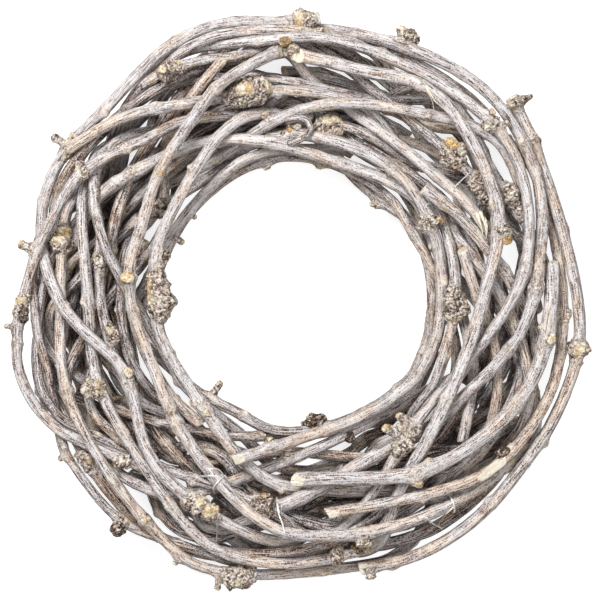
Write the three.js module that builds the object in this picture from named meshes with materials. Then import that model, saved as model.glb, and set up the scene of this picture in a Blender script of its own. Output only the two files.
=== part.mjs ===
// A grapevine wreath, lying on its back with its face up. Millimetres, +Z up out of the face, +Y the
// top of the wreath as it hangs. About fifty dried vine canes are wound round one ring: each cane has a
// route over the face that was read by eye, and its ends run on round the back by a rule. All canes are
// then relaxed as bendy rods, so that each crossing has one cane over the other with a small clearance.

import * as THREE from "three";

// Driving sizes. Routes are written in pixels of the reference view, which is PIXEL_SIZE mm per pixel.
const PIXEL_SIZE = 0.6;
const VIEW_MIDDLE = { x: 300, y: 297 };
const CORE_RADIUS = 127;
const HALF_HEIGHT = 23;
const MIDDLE_HEIGHT = 26;
const OUTLINE_STEPS = 72;
const HIDDEN_DEPTH = 0.93;
const PATH_STEP = 5;
const CANE_SIDES = 6;
const RING_SPACING = 24.5;
const CLEARANCE = 0.4;
const TOUCH = 0.55;
const WIRE_RADIUS = 0.55;
const WIRE_NODES = 14;
const WIRE_SIDES = 5;
const FLAT_FACE_DROP = Math.cos(Math.PI / CANE_SIDES);
const FLOOR_SNAP = 0.45;

// Every random draw comes from one seeded generator, so the wreath is the same at each run.
function seededRandom(seed) {
  let state = seed;
  return () => {
    state = (state + 0x6d2b79f5) | 0;
    let mixed = Math.imul(state ^ (state >>> 15), 1 | state);
    mixed = (mixed + Math.imul(mixed ^ (mixed >>> 7), 61 | mixed)) ^ mixed;
    return ((mixed ^ (mixed >>> 14)) >>> 0) / 4294967296;
  };
}

const random = seededRandom(20261130);

function between(low, high) {
  return low + (high - low) * random();
}

function fromView([x, y]) {
  return new THREE.Vector2((x - VIEW_MIDDLE.x) * PIXEL_SIZE, (VIEW_MIDDLE.y - y) * PIXEL_SIZE);
}

// The wreath isn't quite round. Its outline is the nearest and the furthest face cane in each direction.
const outline = Array.from({ length: OUTLINE_STEPS }, () => ({ near: Infinity, far: 0 }));

function noteOutline(points) {
  for (const point of points) {
    const turn = Math.atan2(point.y, point.x) / (2 * Math.PI);
    const step = outline[Math.floor((turn + 1) * OUTLINE_STEPS) % OUTLINE_STEPS];
    step.near = Math.min(step.near, Math.hypot(point.x, point.y));
    step.far = Math.max(step.far, Math.hypot(point.x, point.y));
  }
}

function sectionAt(angle) {
  const turn = (angle / (2 * Math.PI) + 2) * OUTLINE_STEPS - 0.5;
  const first = outline[Math.floor(turn) % OUTLINE_STEPS];
  const second = outline[(Math.floor(turn) + 1) % OUTLINE_STEPS];
  const near = THREE.MathUtils.lerp(first.near, second.near, turn % 1);
  const far = THREE.MathUtils.lerp(first.far, second.far, turn % 1);
  return { core: (near + far) / 2, half: (far - near) / 2 };
}

// The ring's section is an ellipse. A lift of 1 is on its front, 0 on its middle and -1 on its back.
function heightAt(x, y, lift) {
  const { core, half } = sectionAt(Math.atan2(y, x));
  const across = THREE.MathUtils.clamp((Math.hypot(x, y) - core) / half, -0.96, 0.96);
  return MIDDLE_HEIGHT + lift * HALF_HEIGHT * Math.sqrt(1 - across * across);
}

// Turns a hand-read route into points along a smooth curve. A third number in a route point is its
// lift, which stands in z here until the outline of the whole face is known.
function facePoints(cane) {
  const bends = cane.route.map((point) => {
    const flat = fromView(point);
    return new THREE.Vector3(flat.x, flat.y, point[2] ?? cane.lift);
  });
  const curve = new THREE.CatmullRomCurve3(bends, false, "centripetal");
  return curve.getSpacedPoints(Math.max(4, Math.round(curve.getLength() / PATH_STEP)));
}

// Carries a cane on past the last point seen: it dives over the nearer rim and winds round the back.
function hiddenTail(end, before, length) {
  const radial = new THREE.Vector2(end.x, end.y).normalize();
  const heading = new THREE.Vector2(end.x - before.x, end.y - before.y).normalize();
  const turning = Math.sign(radial.x * heading.y - radial.y * heading.x) || 1;
  const start = sectionAt(Math.atan2(end.y, end.x));
  const across = (Math.hypot(end.x, end.y) - start.core) / start.half;
  const up = (end.z - MIDDLE_HEIGHT) / HALF_HEIGHT;
  const side = across + 1.4 * radial.dot(heading) >= 0 ? 1 : -1;
  const startTurn = Math.atan2(up, across * side);
  const startDepth = Math.min(HIDDEN_DEPTH, Math.hypot(across, up));
  const backTurn = -Math.PI / 2 + between(-0.55, 0.75);
  const backDepth = between(0.5, HIDDEN_DEPTH);
  const diveLength = between(70, 105);
  const drift = between(-0.0062, 0.0062);
  const points = [];
  let angle = Math.atan2(end.y, end.x);
  for (let run = PATH_STEP; run <= length; run += PATH_STEP) {
    const dive = THREE.MathUtils.smoothstep(run, 0, diveLength);
    const turn = startTurn + (backTurn - startTurn) * dive + drift * Math.max(0, run - 0.6 * diveLength);
    const depth = startDepth + (backDepth - startDepth) * dive;
    const { core, half } = sectionAt(angle);
    const radius = core + half * depth * Math.cos(turn) * side;
    angle += (turning * PATH_STEP * 0.94) / radius;
    const height = MIDDLE_HEIGHT + HALF_HEIGHT * depth * Math.sin(turn);
    points.push(new THREE.Vector3(radius * Math.cos(angle), radius * Math.sin(angle), height));
  }
  return points;
}

// A cane that lies wholly at the back, wound at a slant round the lower half of the ring's section.
function backPoints(cane) {
  const points = [];
  const steps = Math.round(cane.length / PATH_STEP);
  for (let step = 0; step <= steps; step += 1) {
    const share = step / steps;
    const angle = THREE.MathUtils.degToRad(cane.startAngle) + (cane.length / CORE_RADIUS) * share;
    const turn = THREE.MathUtils.degToRad(THREE.MathUtils.lerp(cane.startTurn, cane.endTurn, share));
    const { core, half } = sectionAt(angle);
    const radius = core + half * cane.depth * Math.cos(turn);
    const height = MIDDLE_HEIGHT + HALF_HEIGHT * cane.depth * Math.sin(turn);
    points.push(new THREE.Vector3(radius * Math.cos(angle), radius * Math.sin(angle), height));
  }
  return points;
}

// The canes, from the deepest layer to the front one. width is in view pixels. tails are the hidden
// lengths in mm past the first and the last route point, and 0 is a cut end that shows.
const canes = [];

function addCane(name, cane) {
  canes.push({ name, knots: [], stubs: [], burls: [], ...cane });
}

// Deep canes, seen only through the gaps.
addCane("deep_slant_left_low", {
  lift: 0.3, width: 11, tails: [170, 150],
  route: [[96, 303], [118, 288], [148, 258], [160, 244]],
});
addCane("deep_slant_left_high", {
  lift: 0.4, width: 11, tails: [130, 170],
  route: [[106, 248], [122, 232], [150, 212], [180, 194]],
  burls: [{ at: [158, 208], radius: 5.6, length: 16, push: [0, 0, 0.5] }],
});
addCane("deep_left_upright", {
  lift: 0.5, width: 11, tails: [170, 190],
  route: [[119, 262, 0.2], [121, 292], [122, 325], [128, 356], [138, 384, 0.3]],
});
addCane("deep_bottom_slant", {
  lift: 0.4, width: 11, tails: [130, 130],
  route: [[196, 551, 0.2], [225, 541], [252, 530], [280, 518, 0.3]],
});
addCane("deep_bottom_red", {
  lift: 0.35, width: 11, tails: [130, 150],
  route: [[300, 446], [328, 456], [360, 462], [394, 461], [414, 456, 0.2]],
});
addCane("deep_right_slant", {
  lift: 0.45, width: 12, tails: [130, 150],
  route: [[498, 434, 0.2], [480, 453], [447, 481], [408, 509, 0.35], [372, 533], [346, 550, 0.3]],
});
addCane("deep_top_right", {
  lift: 0.5, width: 11, tails: [90, 130],
  route: [[300, 42, 0.4], [340, 60], [370, 86], [400, 110, 0.35], [432, 134], [455, 152, 0.55],
    [472, 170], [484, 194], [492, 214, 0.3]],
  burls: [{ at: [455, 150], radius: 7.8, length: 21, push: [0, 0, 3] },
    { at: [477, 186], radius: 6.5, length: 24, push: [0, 0, 1] }],
});
addCane("deep_bottom_thick", {
  lift: 0.5, width: 13, tails: [110, 130],
  route: [[262, 504, 0.3], [285, 517], [312, 527], [338, 531, 0.4], [362, 531, 0.3]],
});
addCane("deep_low_crossing", {
  lift: 0.5, width: 11, tails: [130, 110],
  route: [[240, 566, 0.2], [275, 556], [305, 547], [338, 537], [372, 520, 0.3]],
});
addCane("inner_rim_top", {
  lift: 0.45, width: 10, tails: [190, 170],
  route: [[166, 232, 0.2], [199, 198], [225, 177], [260, 161], [300, 153], [340, 165], [388, 192],
    [403, 210], [421, 250, 0.3]],
  stubs: [{ at: [265, 162], toward: [0, 8, 0], radius: 1.8, length: 2.5 },
    { at: [320, 161], toward: [0, 8, 0], radius: 1.9, length: 3 }],
});

addCane("deep_lower_rim", {
  lift: 0.35, width: 12, tails: [120, 120],
  route: [[62, 425, 0.3], [85, 462], [112, 498], [140, 528, 0.2], [190, 552, -0.3], [260, 562, -0.6],
    [330, 558, -0.4], [395, 545, 0.1], [430, 535, 0.3], [470, 508, 0.3], [500, 478, 0.2]],
  burls: [{ at: [82, 463], radius: 6.2, length: 20, push: [-1, -1, 2] }],
});
addCane("deep_upper_rim", {
  lift: 0.35, width: 12, tails: [120, 120],
  route: [[55, 190, 0.1], [75, 160], [100, 130], [130, 105], [160, 82, 0.2], [220, 62, -0.3],
    [300, 45, -0.3], [370, 42, 0.2], [410, 58], [445, 78], [478, 102], [500, 128, 0.2]],
});
addCane("deep_half_turn", {
  lift: 0.3, width: 12, tails: [120, 120],
  route: [[380, 152, 0.1], [405, 170], [430, 190], [452, 214], [472, 250, 0.1], [490, 310, -0.5],
    [475, 390, -0.7], [430, 455, -0.8], [345, 505, -0.7], [262, 530, 0], [235, 510, 0.3], [205, 485],
    [175, 455], [150, 425, 0.1]],
});

// Canes of the middle layer.
addCane("left_short_rise", {
  lift: 0.55, width: 9, tails: [130, 130],
  route: [[113, 224], [128, 206], [150, 186], [172, 168], [190, 158, 0.4]],
});
addCane("left_brown_rise", {
  lift: 0.62, width: 12, tails: [170, 130],
  route: [[148, 150, 0.3], [130, 180], [116, 205], [109, 228], [107, 252, 0.35]],
});
addCane("outer_left_inside", {
  lift: 0.5, width: 9, tails: [170, 130],
  route: [[42, 292, 0.3], [37, 340], [35, 372], [44, 406], [72, 430], [104, 438], [134, 454],
    [146, 470, 0.3]],
});
addCane("outer_left_low", {
  lift: 0.6, width: 9, tails: [190, 190],
  route: [[30, 268, 0.4], [32, 300], [37, 342], [50, 378], [57, 396, 0.4], [53, 425], [62, 458],
    [82, 484], [109, 515], [124, 532], [155, 538], [188, 545], [212, 552]],
  knots: [{ at: [120, 528], size: 1.5 }, { at: [52, 444], size: 1.25 }],
  stubs: [{ at: [61, 462], toward: [-8, 3, 0], radius: 1.4, length: 2.5 },
    { at: [120, 528], toward: [-1, 10, 0], radius: 2.3, length: 5.5 }],
});
addCane("bottom_left_level", {
  lift: 0.55, width: 9, tails: [190, 0],
  route: [[108, 412, 0.3], [143, 421], [185, 428], [218, 436], [252, 437, 0.75], [264, 437, 0.8]],
  knots: [{ at: [261, 437], size: 1.3 }],
});
addCane("bottom_left_shelf", {
  lift: 0.6, width: 10, tails: [190, 60],
  route: [[138, 460, 0.3], [165, 470], [198, 480], [228, 491], [252, 502, 0.8], [268, 510, 0.8]],
  burls: [{ at: [263, 507], radius: 8, length: 21, push: [0, 0, 2] }],
});
addCane("bottom_middle_slant", {
  lift: 0.6, width: 11, tails: [130, 170],
  route: [[374, 416, 0.4], [345, 433], [318, 448], [289, 461], [257, 472], [229, 483, 0.5], [198, 491],
    [158, 493]],
  knots: [{ at: [284, 458], size: 1.2 }],
  stubs: [{ at: [288, 458], toward: [-10, 3, 2], radius: 2, length: 4 }],
});
addCane("left_grey_upright", {
  lift: 0.62, width: 10, tails: [150, 190],
  route: [[93, 244, 0.4], [97, 270], [99, 303], [107, 336, 0.6], [116, 370], [131, 400, 0.35]],
  burls: [{ at: [95, 256], radius: 5.6, length: 14, push: [0, 0, 1] },
    { at: [108, 336], radius: 6.4, length: 17, push: [2, 0, 1] }],
});
addCane("right_split_upright", {
  lift: 0.58, width: 11, tails: [90, 0],
  route: [[461, 314, 0.5], [470, 345, 0.45], [478, 380, 0.45], [468, 410], [463, 441, 0.62]],
});
addCane("right_long_slant", {
  lift: 0.62, width: 12, tails: [130, 170],
  route: [[436, 204, 0.3], [462, 238], [486, 268], [508, 306], [520, 338, 0.55], [528, 370], [532, 402],
    [524, 432, 0.3]],
});
addCane("top_second_arch", {
  lift: 0.6, width: 10, tails: [130, 170],
  route: [[240, 60, 0.4], [275, 71], [305, 82], [335, 91], [368, 100, 0.4]],
});
addCane("top_left_level", {
  lift: 0.66, width: 10, tails: [190, 90],
  route: [[160, 77, 0.4], [177, 71], [202, 61], [238, 59], [266, 47], [284, 40, 0.5]],
  burls: [{ at: [174, 73], radius: 7, length: 17, push: [0, 0, 1.5] }],
  stubs: [{ at: [170, 75], toward: [-4, 1, 8], radius: 2.6, length: 1.5 }],
});
addCane("top_gnarled_link", {
  lift: 0.62, width: 10, tails: [110, 110],
  route: [[298, 134, 0.5], [316, 124], [332, 120], [350, 126, 0.5]],
  burls: [{ at: [331, 121], radius: 8, length: 24, push: [0, 1, 1] }],
});
addCane("inner_rim_right", {
  lift: 0.62, width: 11, tails: [130, 150],
  route: [[372, 187, 0.2], [400, 205], [421, 240], [431, 275], [433, 310], [426, 350], [409, 384],
    [369, 411], [318, 430], [270, 431], [236, 411], [203, 396], [180, 377, 0.3]],
  knots: [{ at: [420, 356], size: 1.15 }, { at: [383, 194], size: 1.3 }],
  burls: [{ at: [311, 427], radius: 5.5, length: 14, push: [0, -1, 0] }],
  stubs: [{ at: [207, 399], toward: [1, -14, 1], radius: 1.8, length: 9 },
    { at: [420, 356], toward: [0, 0, 8], radius: 2, length: 2.6 },
    { at: [381, 193], toward: [-5, 9, 2], radius: 2, length: 3 }],
});
addCane("right_inner_burled", {
  lift: 0.7, width: 11, tails: [110, 90],
  route: [[438, 204, 0.4], [450, 230], [456, 268], [458, 304], [450, 332], [441, 356], [436, 376, 0.5]],
  burls: [{ at: [459, 302], radius: 7.6, length: 25, push: [0, 0, 2] }],
});
addCane("right_ochre_cut", {
  lift: 0.72, width: 11, tails: [0, 170],
  route: [[462, 250], [470, 278], [481, 304, 0.6], [495, 338], [499, 380, 0.55], [496, 412, 0.5],
    [488, 440, 0.3]],
});
addCane("top_right_inside", {
  lift: 0.78, width: 11, tails: [130, 150],
  route: [[466, 124, 0.5], [480, 150, 0.6], [492, 171], [508, 194], [524, 218, 0.6], [534, 238, 0.3]],
  burls: [{ at: [513, 200], radius: 6.3, length: 25, push: [1.5, -1, -1] }],
});
addCane("left_grey_descent", {
  lift: 0.78, width: 11, tails: [170, 190],
  route: [[92, 166, 0.3], [93, 202], [103, 244], [122, 280, 0.62], [140, 310], [158, 342, 0.6],
    [178, 378, 0.5], [196, 404, 0.4]],
});
addCane("right_outer_slant", {
  lift: 0.8, width: 12, tails: [0, 170],
  route: [[424, 190], [455, 212], [486, 246, 0.72], [511, 284, 0.66], [528, 312, 0.5], [540, 336, 0.3]],
});
addCane("bottom_broad_slant", {
  lift: 0.74, width: 14, tails: [0, 130],
  route: [[396, 446, 0.8], [360, 464, 0.72], [326, 486, 0.62], [298, 502], [272, 518, 0.5]],
});
addCane("top_left_branch", {
  lift: 0.84, width: 11, tails: [0, 190],
  route: [[223, 62], [203, 82], [186, 103], [166, 127, 0.4]],
});
addCane("left_branch_ochre", {
  lift: 0.84, width: 11, tails: [110, 0],
  route: [[150, 366, 0.5], [164, 390, 0.7], [182, 407], [199, 424]],
  knots: [{ at: [197, 422], size: 1.15 }],
});

// Canes of the outer rim and the front.
addCane("top_rim_inside", {
  lift: 0.86, width: 10, tails: [170, 150],
  route: [[172, 55, 0.4], [205, 38], [250, 32], [290, 31], [322, 29], [344, 36, 0.5]],
  burls: [{ at: [323, 29], radius: 5, length: 13, push: [0, 0, 2] }],
});
addCane("right_tan", {
  lift: 0.8, width: 11, tails: [130, 0],
  route: [[541, 184, 0.4], [552, 218], [562, 268], [564, 320], [560, 370], [545, 408], [517, 448],
    [487, 475, 0.95], [440, 491, 0.95], [385, 503, 0.95], [326, 513, 0.9]],
  knots: [{ at: [562, 316], size: 1.4 }],
  stubs: [{ at: [562, 316], toward: [-9, 0, 4], radius: 1.8, length: 4 }],
});
addCane("top_arch_left", {
  lift: 0.86, width: 11, tails: [0, 170],
  route: [[68, 150], [92, 133], [122, 117], [155, 108], [187, 104], [204, 101, 0.7], [228, 96, 0.8],
    [250, 92], [280, 89], [310, 95], [345, 102, 0.5]],
  knots: [{ at: [190, 103], size: 1.25 }],
  burls: [{ at: [248, 91], radius: 9.5, length: 32, push: [0, 0, 2.5] }],
});
addCane("inner_left_long", {
  lift: 0.95, width: 12, tails: [60, 150],
  route: [[262, 110, 0.7], [232, 123], [205, 155], [184, 190], [161, 231], [152, 264], [149, 300],
    [160, 342], [190, 387], [210, 418], [235, 454, 0.72], [259, 480, 0.7], [302, 491, 0.6],
    [350, 492, 0.6], [395, 488, 0.45]],
  knots: [{ at: [204, 408], size: 1.35 }],
  burls: [{ at: [152, 294], radius: 10, length: 42, push: [5, 0.5, 0] }],
  stubs: [{ at: [196, 402], toward: [-6, 4, 5], radius: 2.2, length: 3 },
    { at: [208, 414], toward: [0, 0, 8], radius: 2.2, length: 3 },
    { at: [156, 256], toward: [10, 4, 0], radius: 2.6, length: 4.5 }],
});
addCane("inner_left_edge", {
  lift: 0.72, width: 10, tails: [130, 110],
  route: [[264, 139, 0.5], [242, 152], [216, 178], [190, 208], [170, 232], [158, 252, 0.5]],
  stubs: [{ at: [170, 234], toward: [10, -1, 0], radius: 2, length: 6 },
    { at: [190, 212], toward: [8, 3, 0], radius: 1.5, length: 3.5 }],
});
addCane("inner_top_front", {
  lift: 0.86, width: 12, tails: [110, 130],
  route: [[84, 202, 0.3], [99, 190, 0.7], [133, 172], [172, 153, 0.72], [205, 140, 0.78], [240, 137],
    [280, 142], [327, 158], [379, 177], [405, 188, 0.6], [424, 202, 0.4]],
  knots: [{ at: [133, 172], size: 1.5 }, { at: [277, 141], size: 1.25 }],
});
addCane("arch_top_front", {
  lift: 0.9, width: 11, tails: [130, 150],
  route: [[252, 138, 0.5], [272, 122], [303, 108], [338, 102], [380, 105], [425, 115], [456, 122, 0.66],
    [484, 131, 0.7], [504, 149, 0.6], [518, 180, 0.4]],
  stubs: [{ at: [266, 125], toward: [-3, -9, 2], radius: 2.1, length: 4 }],
});
addCane("inner_right_long", {
  lift: 0.96, width: 12, tails: [90, 0],
  route: [[290, 137, 0.6], [327, 140], [380, 158], [416, 188], [434, 221, 0.9], [444, 268], [443, 318],
    [430, 362], [403, 392], [358, 420], [302, 438], [255, 454], [231, 460]],
  knots: [{ at: [272, 448], size: 1.1 }],
  burls: [{ at: [433, 219], radius: 6.4, length: 18, push: [-1, 0, 0] }],
  stubs: [{ at: [434, 222], toward: [4, 0, 8], radius: 2.4, length: 1.5 },
    { at: [268, 446], toward: [-2, -9, 3], radius: 2.3, length: 3.5 },
    { at: [293, 137], toward: [-3, -7, 5], radius: 2.2, length: 2.5 }],
});
addCane("diagonal_white", {
  lift: 0.98, width: 11, tails: [110, 0],
  route: [[336, 98, 0.5], [372, 124, 0.85], [410, 153], [442, 181], [470, 205], [489, 231]],
});
addCane("outer_left_knotted", {
  lift: 0.86, width: 11, tails: [130, 170],
  route: [[182, 122, 0.6], [150, 139], [115, 152], [83, 167], [62, 203], [46, 231, 0.76],
    [33, 258, 0.76], [24, 295], [16, 330], [14, 362], [28, 398], [54, 427], [90, 445, 0.72],
    [122, 462, 0.7], [152, 480, 0.5]],
  knots: [{ at: [81, 167], size: 1.5 }, { at: [22, 315], size: 1.6 }],
  burls: [{ at: [119, 462], radius: 5.2, length: 18, push: [0, 3, -1] }],
  stubs: [{ at: [19, 328], toward: [-11, 1, 0], radius: 1.8, length: 5 },
    { at: [35, 249], toward: [-9, -5, 0], radius: 2.4, length: 8 },
    { at: [81, 164], toward: [-7, -7, 3], radius: 2, length: 3 }],
});
addCane("outer_left_long", {
  lift: 0.95, width: 12, tails: [0, 130],
  route: [[319, 18, 0.8], [275, 22], [235, 20], [200, 28], [156, 55], [121, 94], [84, 128], [61, 151],
    [45, 185], [36, 222], [43, 262], [57, 302], [85, 333], [118, 361], [134, 376], [137, 410],
    [150, 456], [177, 488], [208, 512, 0.7], [234, 532, 0.6]],
  knots: [{ at: [234, 22], size: 1.2 }, { at: [137, 386], size: 1.3 }],
  burls: [{ at: [309, 18], radius: 6.4, length: 18, push: [0, 0, 0.5] },
    { at: [67, 145], radius: 6.5, length: 17, push: [0, 0, 0] },
    { at: [204, 508], radius: 6.6, length: 26, push: [0, 0, 1] }],
  stubs: [{ at: [65, 146], toward: [-9, -8, 0], radius: 2, length: 6 },
    { at: [135, 373], toward: [2, -3, 8], radius: 2.6, length: 3.2 },
    { at: [202, 504], toward: [0, -2, 9], radius: 2.8, length: 1.8 }],
});
addCane("left_upright_tan", {
  lift: 0.9, width: 11, tails: [170, 0],
  route: [[84, 166, 0.2], [83, 200, 0.65], [86, 262, 0.8], [89, 312, 0.72], [91, 352, 0.72], [98, 388],
    [127, 438], [151, 475], [184, 523], [213, 550], [255, 562], [300, 565], [338, 557],
    [368, 549, 0.8]],
  knots: [{ at: [97, 388], size: 1.5 }],
  burls: [{ at: [86, 389], radius: 7, length: 17, push: [-6, 0, 0] },
    { at: [338, 556], radius: 5.4, length: 12, push: [0, -1, 1] }],
  stubs: [{ at: [97, 389], toward: [1, 1, 9], radius: 2, length: 2 }],
});
addCane("left_front_long", {
  lift: 0.93, width: 11, tails: [130, 130],
  route: [[56, 238, 0.3], [57, 265, 0.6], [59, 308, 0.62], [59, 352], [64, 390], [88, 440], [121, 491],
    [157, 535], [196, 570], [232, 577], [289, 575], [335, 569], [362, 563, 0.4]],
  knots: [{ at: [65, 393], size: 1.3 }, { at: [146, 521], size: 1.3 }],
  burls: [{ at: [62, 242], radius: 8, length: 20, push: [1, 0, 2] },
    { at: [234, 578], radius: 8.5, length: 24, push: [0, 2.5, 0] }],
  stubs: [{ at: [146, 521], toward: [1, 2, 8], radius: 1.8, length: 2.5 },
    { at: [222, 574], toward: [-3, 9, 0], radius: 2, length: 2.5 },
    { at: [180, 557], toward: [-3, 7, 0], radius: 1.5, length: 2.5 }],
});
addCane("right_prominent", {
  lift: 0.98, width: 14, tails: [0, 0],
  route: [[553, 264, 0.8], [552, 300], [547, 340], [530, 387], [503, 420], [470, 447], [430, 469],
    [398, 477], [345, 478], [294, 479]],
  knots: [{ at: [548, 342], size: 1.25 }, { at: [413, 474], size: 1.3 }],
  stubs: [{ at: [549, 342], toward: [3, 3, 9], radius: 2.6, length: 3 },
    { at: [413, 476], toward: [0, 8, 5], radius: 2.8, length: 3.5 }],
});
addCane("rim_top_right", {
  lift: 0.95, width: 12, tails: [130, 150],
  route: [[284, 28, 0.6], [320, 26], [360, 32], [410, 46], [450, 64], [490, 91], [520, 132], [538, 172],
    [544, 210], [540, 262], [533, 308], [512, 350], [478, 384], [450, 411, 0.8], [436, 430, 0.5]],
  knots: [{ at: [541, 222], size: 1.15 }, { at: [536, 288], size: 1.5 }, { at: [408, 44], size: 1.3 }],
  stubs: [{ at: [406, 45], toward: [3, -10, 0], radius: 4.3, length: 6 }],
});
addCane("rim_right_long", {
  lift: 0.9, width: 12, tails: [0, 0],
  route: [[513, 95, 0.8], [517, 107], [531, 133, 0.7], [548, 180], [564, 232], [576, 280], [581, 312],
    [583, 340],
    [574, 376], [551, 428], [519, 471], [491, 507], [458, 535], [422, 556], [392, 565], [361, 569]],
  knots: [{ at: [535, 140], size: 1.25 }],
  burls: [{ at: [515, 101], radius: 5.4, length: 14, push: [0, 0, 0.5] },
    { at: [580, 352], radius: 6.6, length: 17, push: [0, 0, 1] }],
  stubs: [{ at: [514, 101], toward: [-9, -3, 0], radius: 1.9, length: 4 },
    { at: [516, 103], toward: [8, -7, 0], radius: 1.9, length: 6 },
    { at: [582, 348], toward: [9, -5, 0], radius: 2, length: 2.5 },
    { at: [534, 140], toward: [3, 2, 8], radius: 2, length: 2.5 },
    { at: [364, 568], toward: [-2, 8, 1], radius: 3.2, length: 4 }],
});
addCane("top_to_right_long", {
  lift: 1, width: 11, tails: [170, 150],
  route: [[160, 62, 0.4], [185, 49, 0.75], [230, 41, 0.85], [280, 38, 0.88], [322, 36, 0.9], [375, 52],
    [435, 80], [485, 115], [513, 148], [528, 196], [530, 240], [522, 285], [488, 336, 1.05],
    [450, 383, 0.85], [412, 426, 0.85], [397, 455, 0.82], [372, 499, 0.72], [340, 532, 0.6]],
  knots: [{ at: [495, 120], size: 1.7 }, { at: [524, 275], size: 1.3 }],
  burls: [{ at: [400, 436], radius: 7.6, length: 28, push: [-2, 0, 1] }],
  stubs: [{ at: [406, 424], toward: [-9, -2, 2], radius: 2.2, length: 5.5 },
    { at: [400, 440], toward: [-9, 1, 2], radius: 2.2, length: 7 },
    { at: [489, 118], toward: [-4, -8, 3], radius: 1.7, length: 4 },
    { at: [503, 127], toward: [8, -4, 3], radius: 1.7, length: 4 }],
});
addCane("top_to_low_right", {
  lift: 1.02, width: 13, tails: [0, 150],
  route: [[292, 54], [330, 62], [380, 76], [426, 83], [452, 110], [482, 162], [499, 208], [500, 234],
    [490, 270], [478, 320], [456, 380], [432, 432], [413, 468, 0.7]],
  knots: [{ at: [502, 230], size: 1.45 }],
  stubs: [{ at: [501, 234], toward: [8, 3, 3], radius: 2.8, length: 3.5 }],
});
addCane("front_left_long", {
  lift: 1.06, width: 12, tails: [0, 130],
  route: [[287, 43], [258, 61], [218, 86], [184, 134], [158, 170], [141, 228], [124, 282], [137, 325],
    [157, 379], [175, 423], [203, 463], [238, 502], [276, 532], [331, 537], [391, 529], [450, 508],
    [488, 488, 0.7]],
  knots: [{ at: [283, 47], size: 1.35 }, { at: [124, 280], size: 1.25 }, { at: [176, 424], size: 1.35 },
    { at: [366, 534], size: 1.4 }],
  stubs: [{ at: [124, 280], toward: [-1, 0, 9], radius: 3, length: 3 },
    { at: [364, 538], toward: [-4, 9, 2], radius: 3.3, length: 4.5 }],
});

// Canes that only show from behind.
const BACK_CANES = 3;
for (let index = 0; index < BACK_CANES; index += 1) {
  const slant = index % 2 === 0 ? 1 : -1;
  addCane(`back_${index + 1}`, {
    behind: true,
    tails: [0, 0],
    width: 11,
    length: 410 + 30 * index,
    startAngle: 20 + (360 / BACK_CANES) * index,
    startTurn: -90 - slant * 66,
    endTurn: -90 + slant * 60,
    depth: 0.95,
  });
}

// Rods: each cane's curve becomes nodes at even spacing, which are also the rings of its mesh.
const place = [];
const home = [];
const rest = [];
const hold = [];
const rods = [];

function addRod(points, radius, cane, seen) {
  const curve = new THREE.CatmullRomCurve3(points, false, "centripetal");
  curve.arcLengthDivisions = points.length * 4;
  const segments = Math.max(3, Math.round(curve.getLength() / RING_SPACING));
  const first = place.length;
  for (const point of curve.getSpacedPoints(segments)) {
    place.push(point);
    home.push(point.clone());
    hold.push(seen.some((near) => near.distanceTo(point) < PATH_STEP) ? 1 : 0);
  }
  rods.push({ first, last: place.length - 1, radius, cane });
}

for (const cane of canes) {
  cane.seen = cane.behind ? [] : facePoints(cane);
  noteOutline(cane.seen);
}

for (const cane of canes) {
  for (const point of cane.seen) point.z = heightAt(point.x, point.y, point.z);
  const whole = cane.behind ? backPoints(cane) : [...cane.seen];
  if (cane.tails[0] > 0) whole.unshift(...hiddenTail(cane.seen[0], cane.seen[2], cane.tails[0]).reverse());
  if (cane.tails[1] > 0) whole.push(...hiddenTail(cane.seen.at(-1), cane.seen.at(-3), cane.tails[1]));
  addRod(whole, (cane.width / 2) * PIXEL_SIZE, cane, cane.seen);
}

for (const rod of rods) {
  for (let node = rod.first; node <= rod.last; node += 1) {
    const inside = node > rod.first && node < rod.last;
    rest[node] = new THREE.Vector3();
    if (inside) rest[node].addVectors(home[node - 1], home[node + 1]).multiplyScalar(0.5).sub(home[node]);
  }
}

// Where along a rod a feature of the view lies: the segment, and how far along it.
function spotOnRod(rod, at) {
  const target = fromView(at);
  let best = { distance: Infinity };
  for (let node = rod.first; node < rod.last; node += 1) {
    const start = home[node];
    const end = home[node + 1];
    const run = new THREE.Vector2(end.x - start.x, end.y - start.y);
    const reach = new THREE.Vector2(target.x - start.x, target.y - start.y);
    const share = THREE.MathUtils.clamp(reach.dot(run) / run.lengthSq(), 0, 1);
    const distance = reach.distanceTo(run.clone().multiplyScalar(share)) + (hold[node] ? 0 : 15);
    if (distance < best.distance) best = { distance, node, share };
  }
  return best;
}

// Solid capsules stand for the rods' segments, the burls and the stubs while the canes are relaxed.
const capsules = [];

function addCapsule(rod, node, shareA, shareB, offsetA, offsetB, radius) {
  const isRun = shareA === 0 && shareB === 1;
  capsules.push({ rod, node, next: node + 1, shareA, shareB, offsetA, offsetB, radius, isRun });
}

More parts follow.
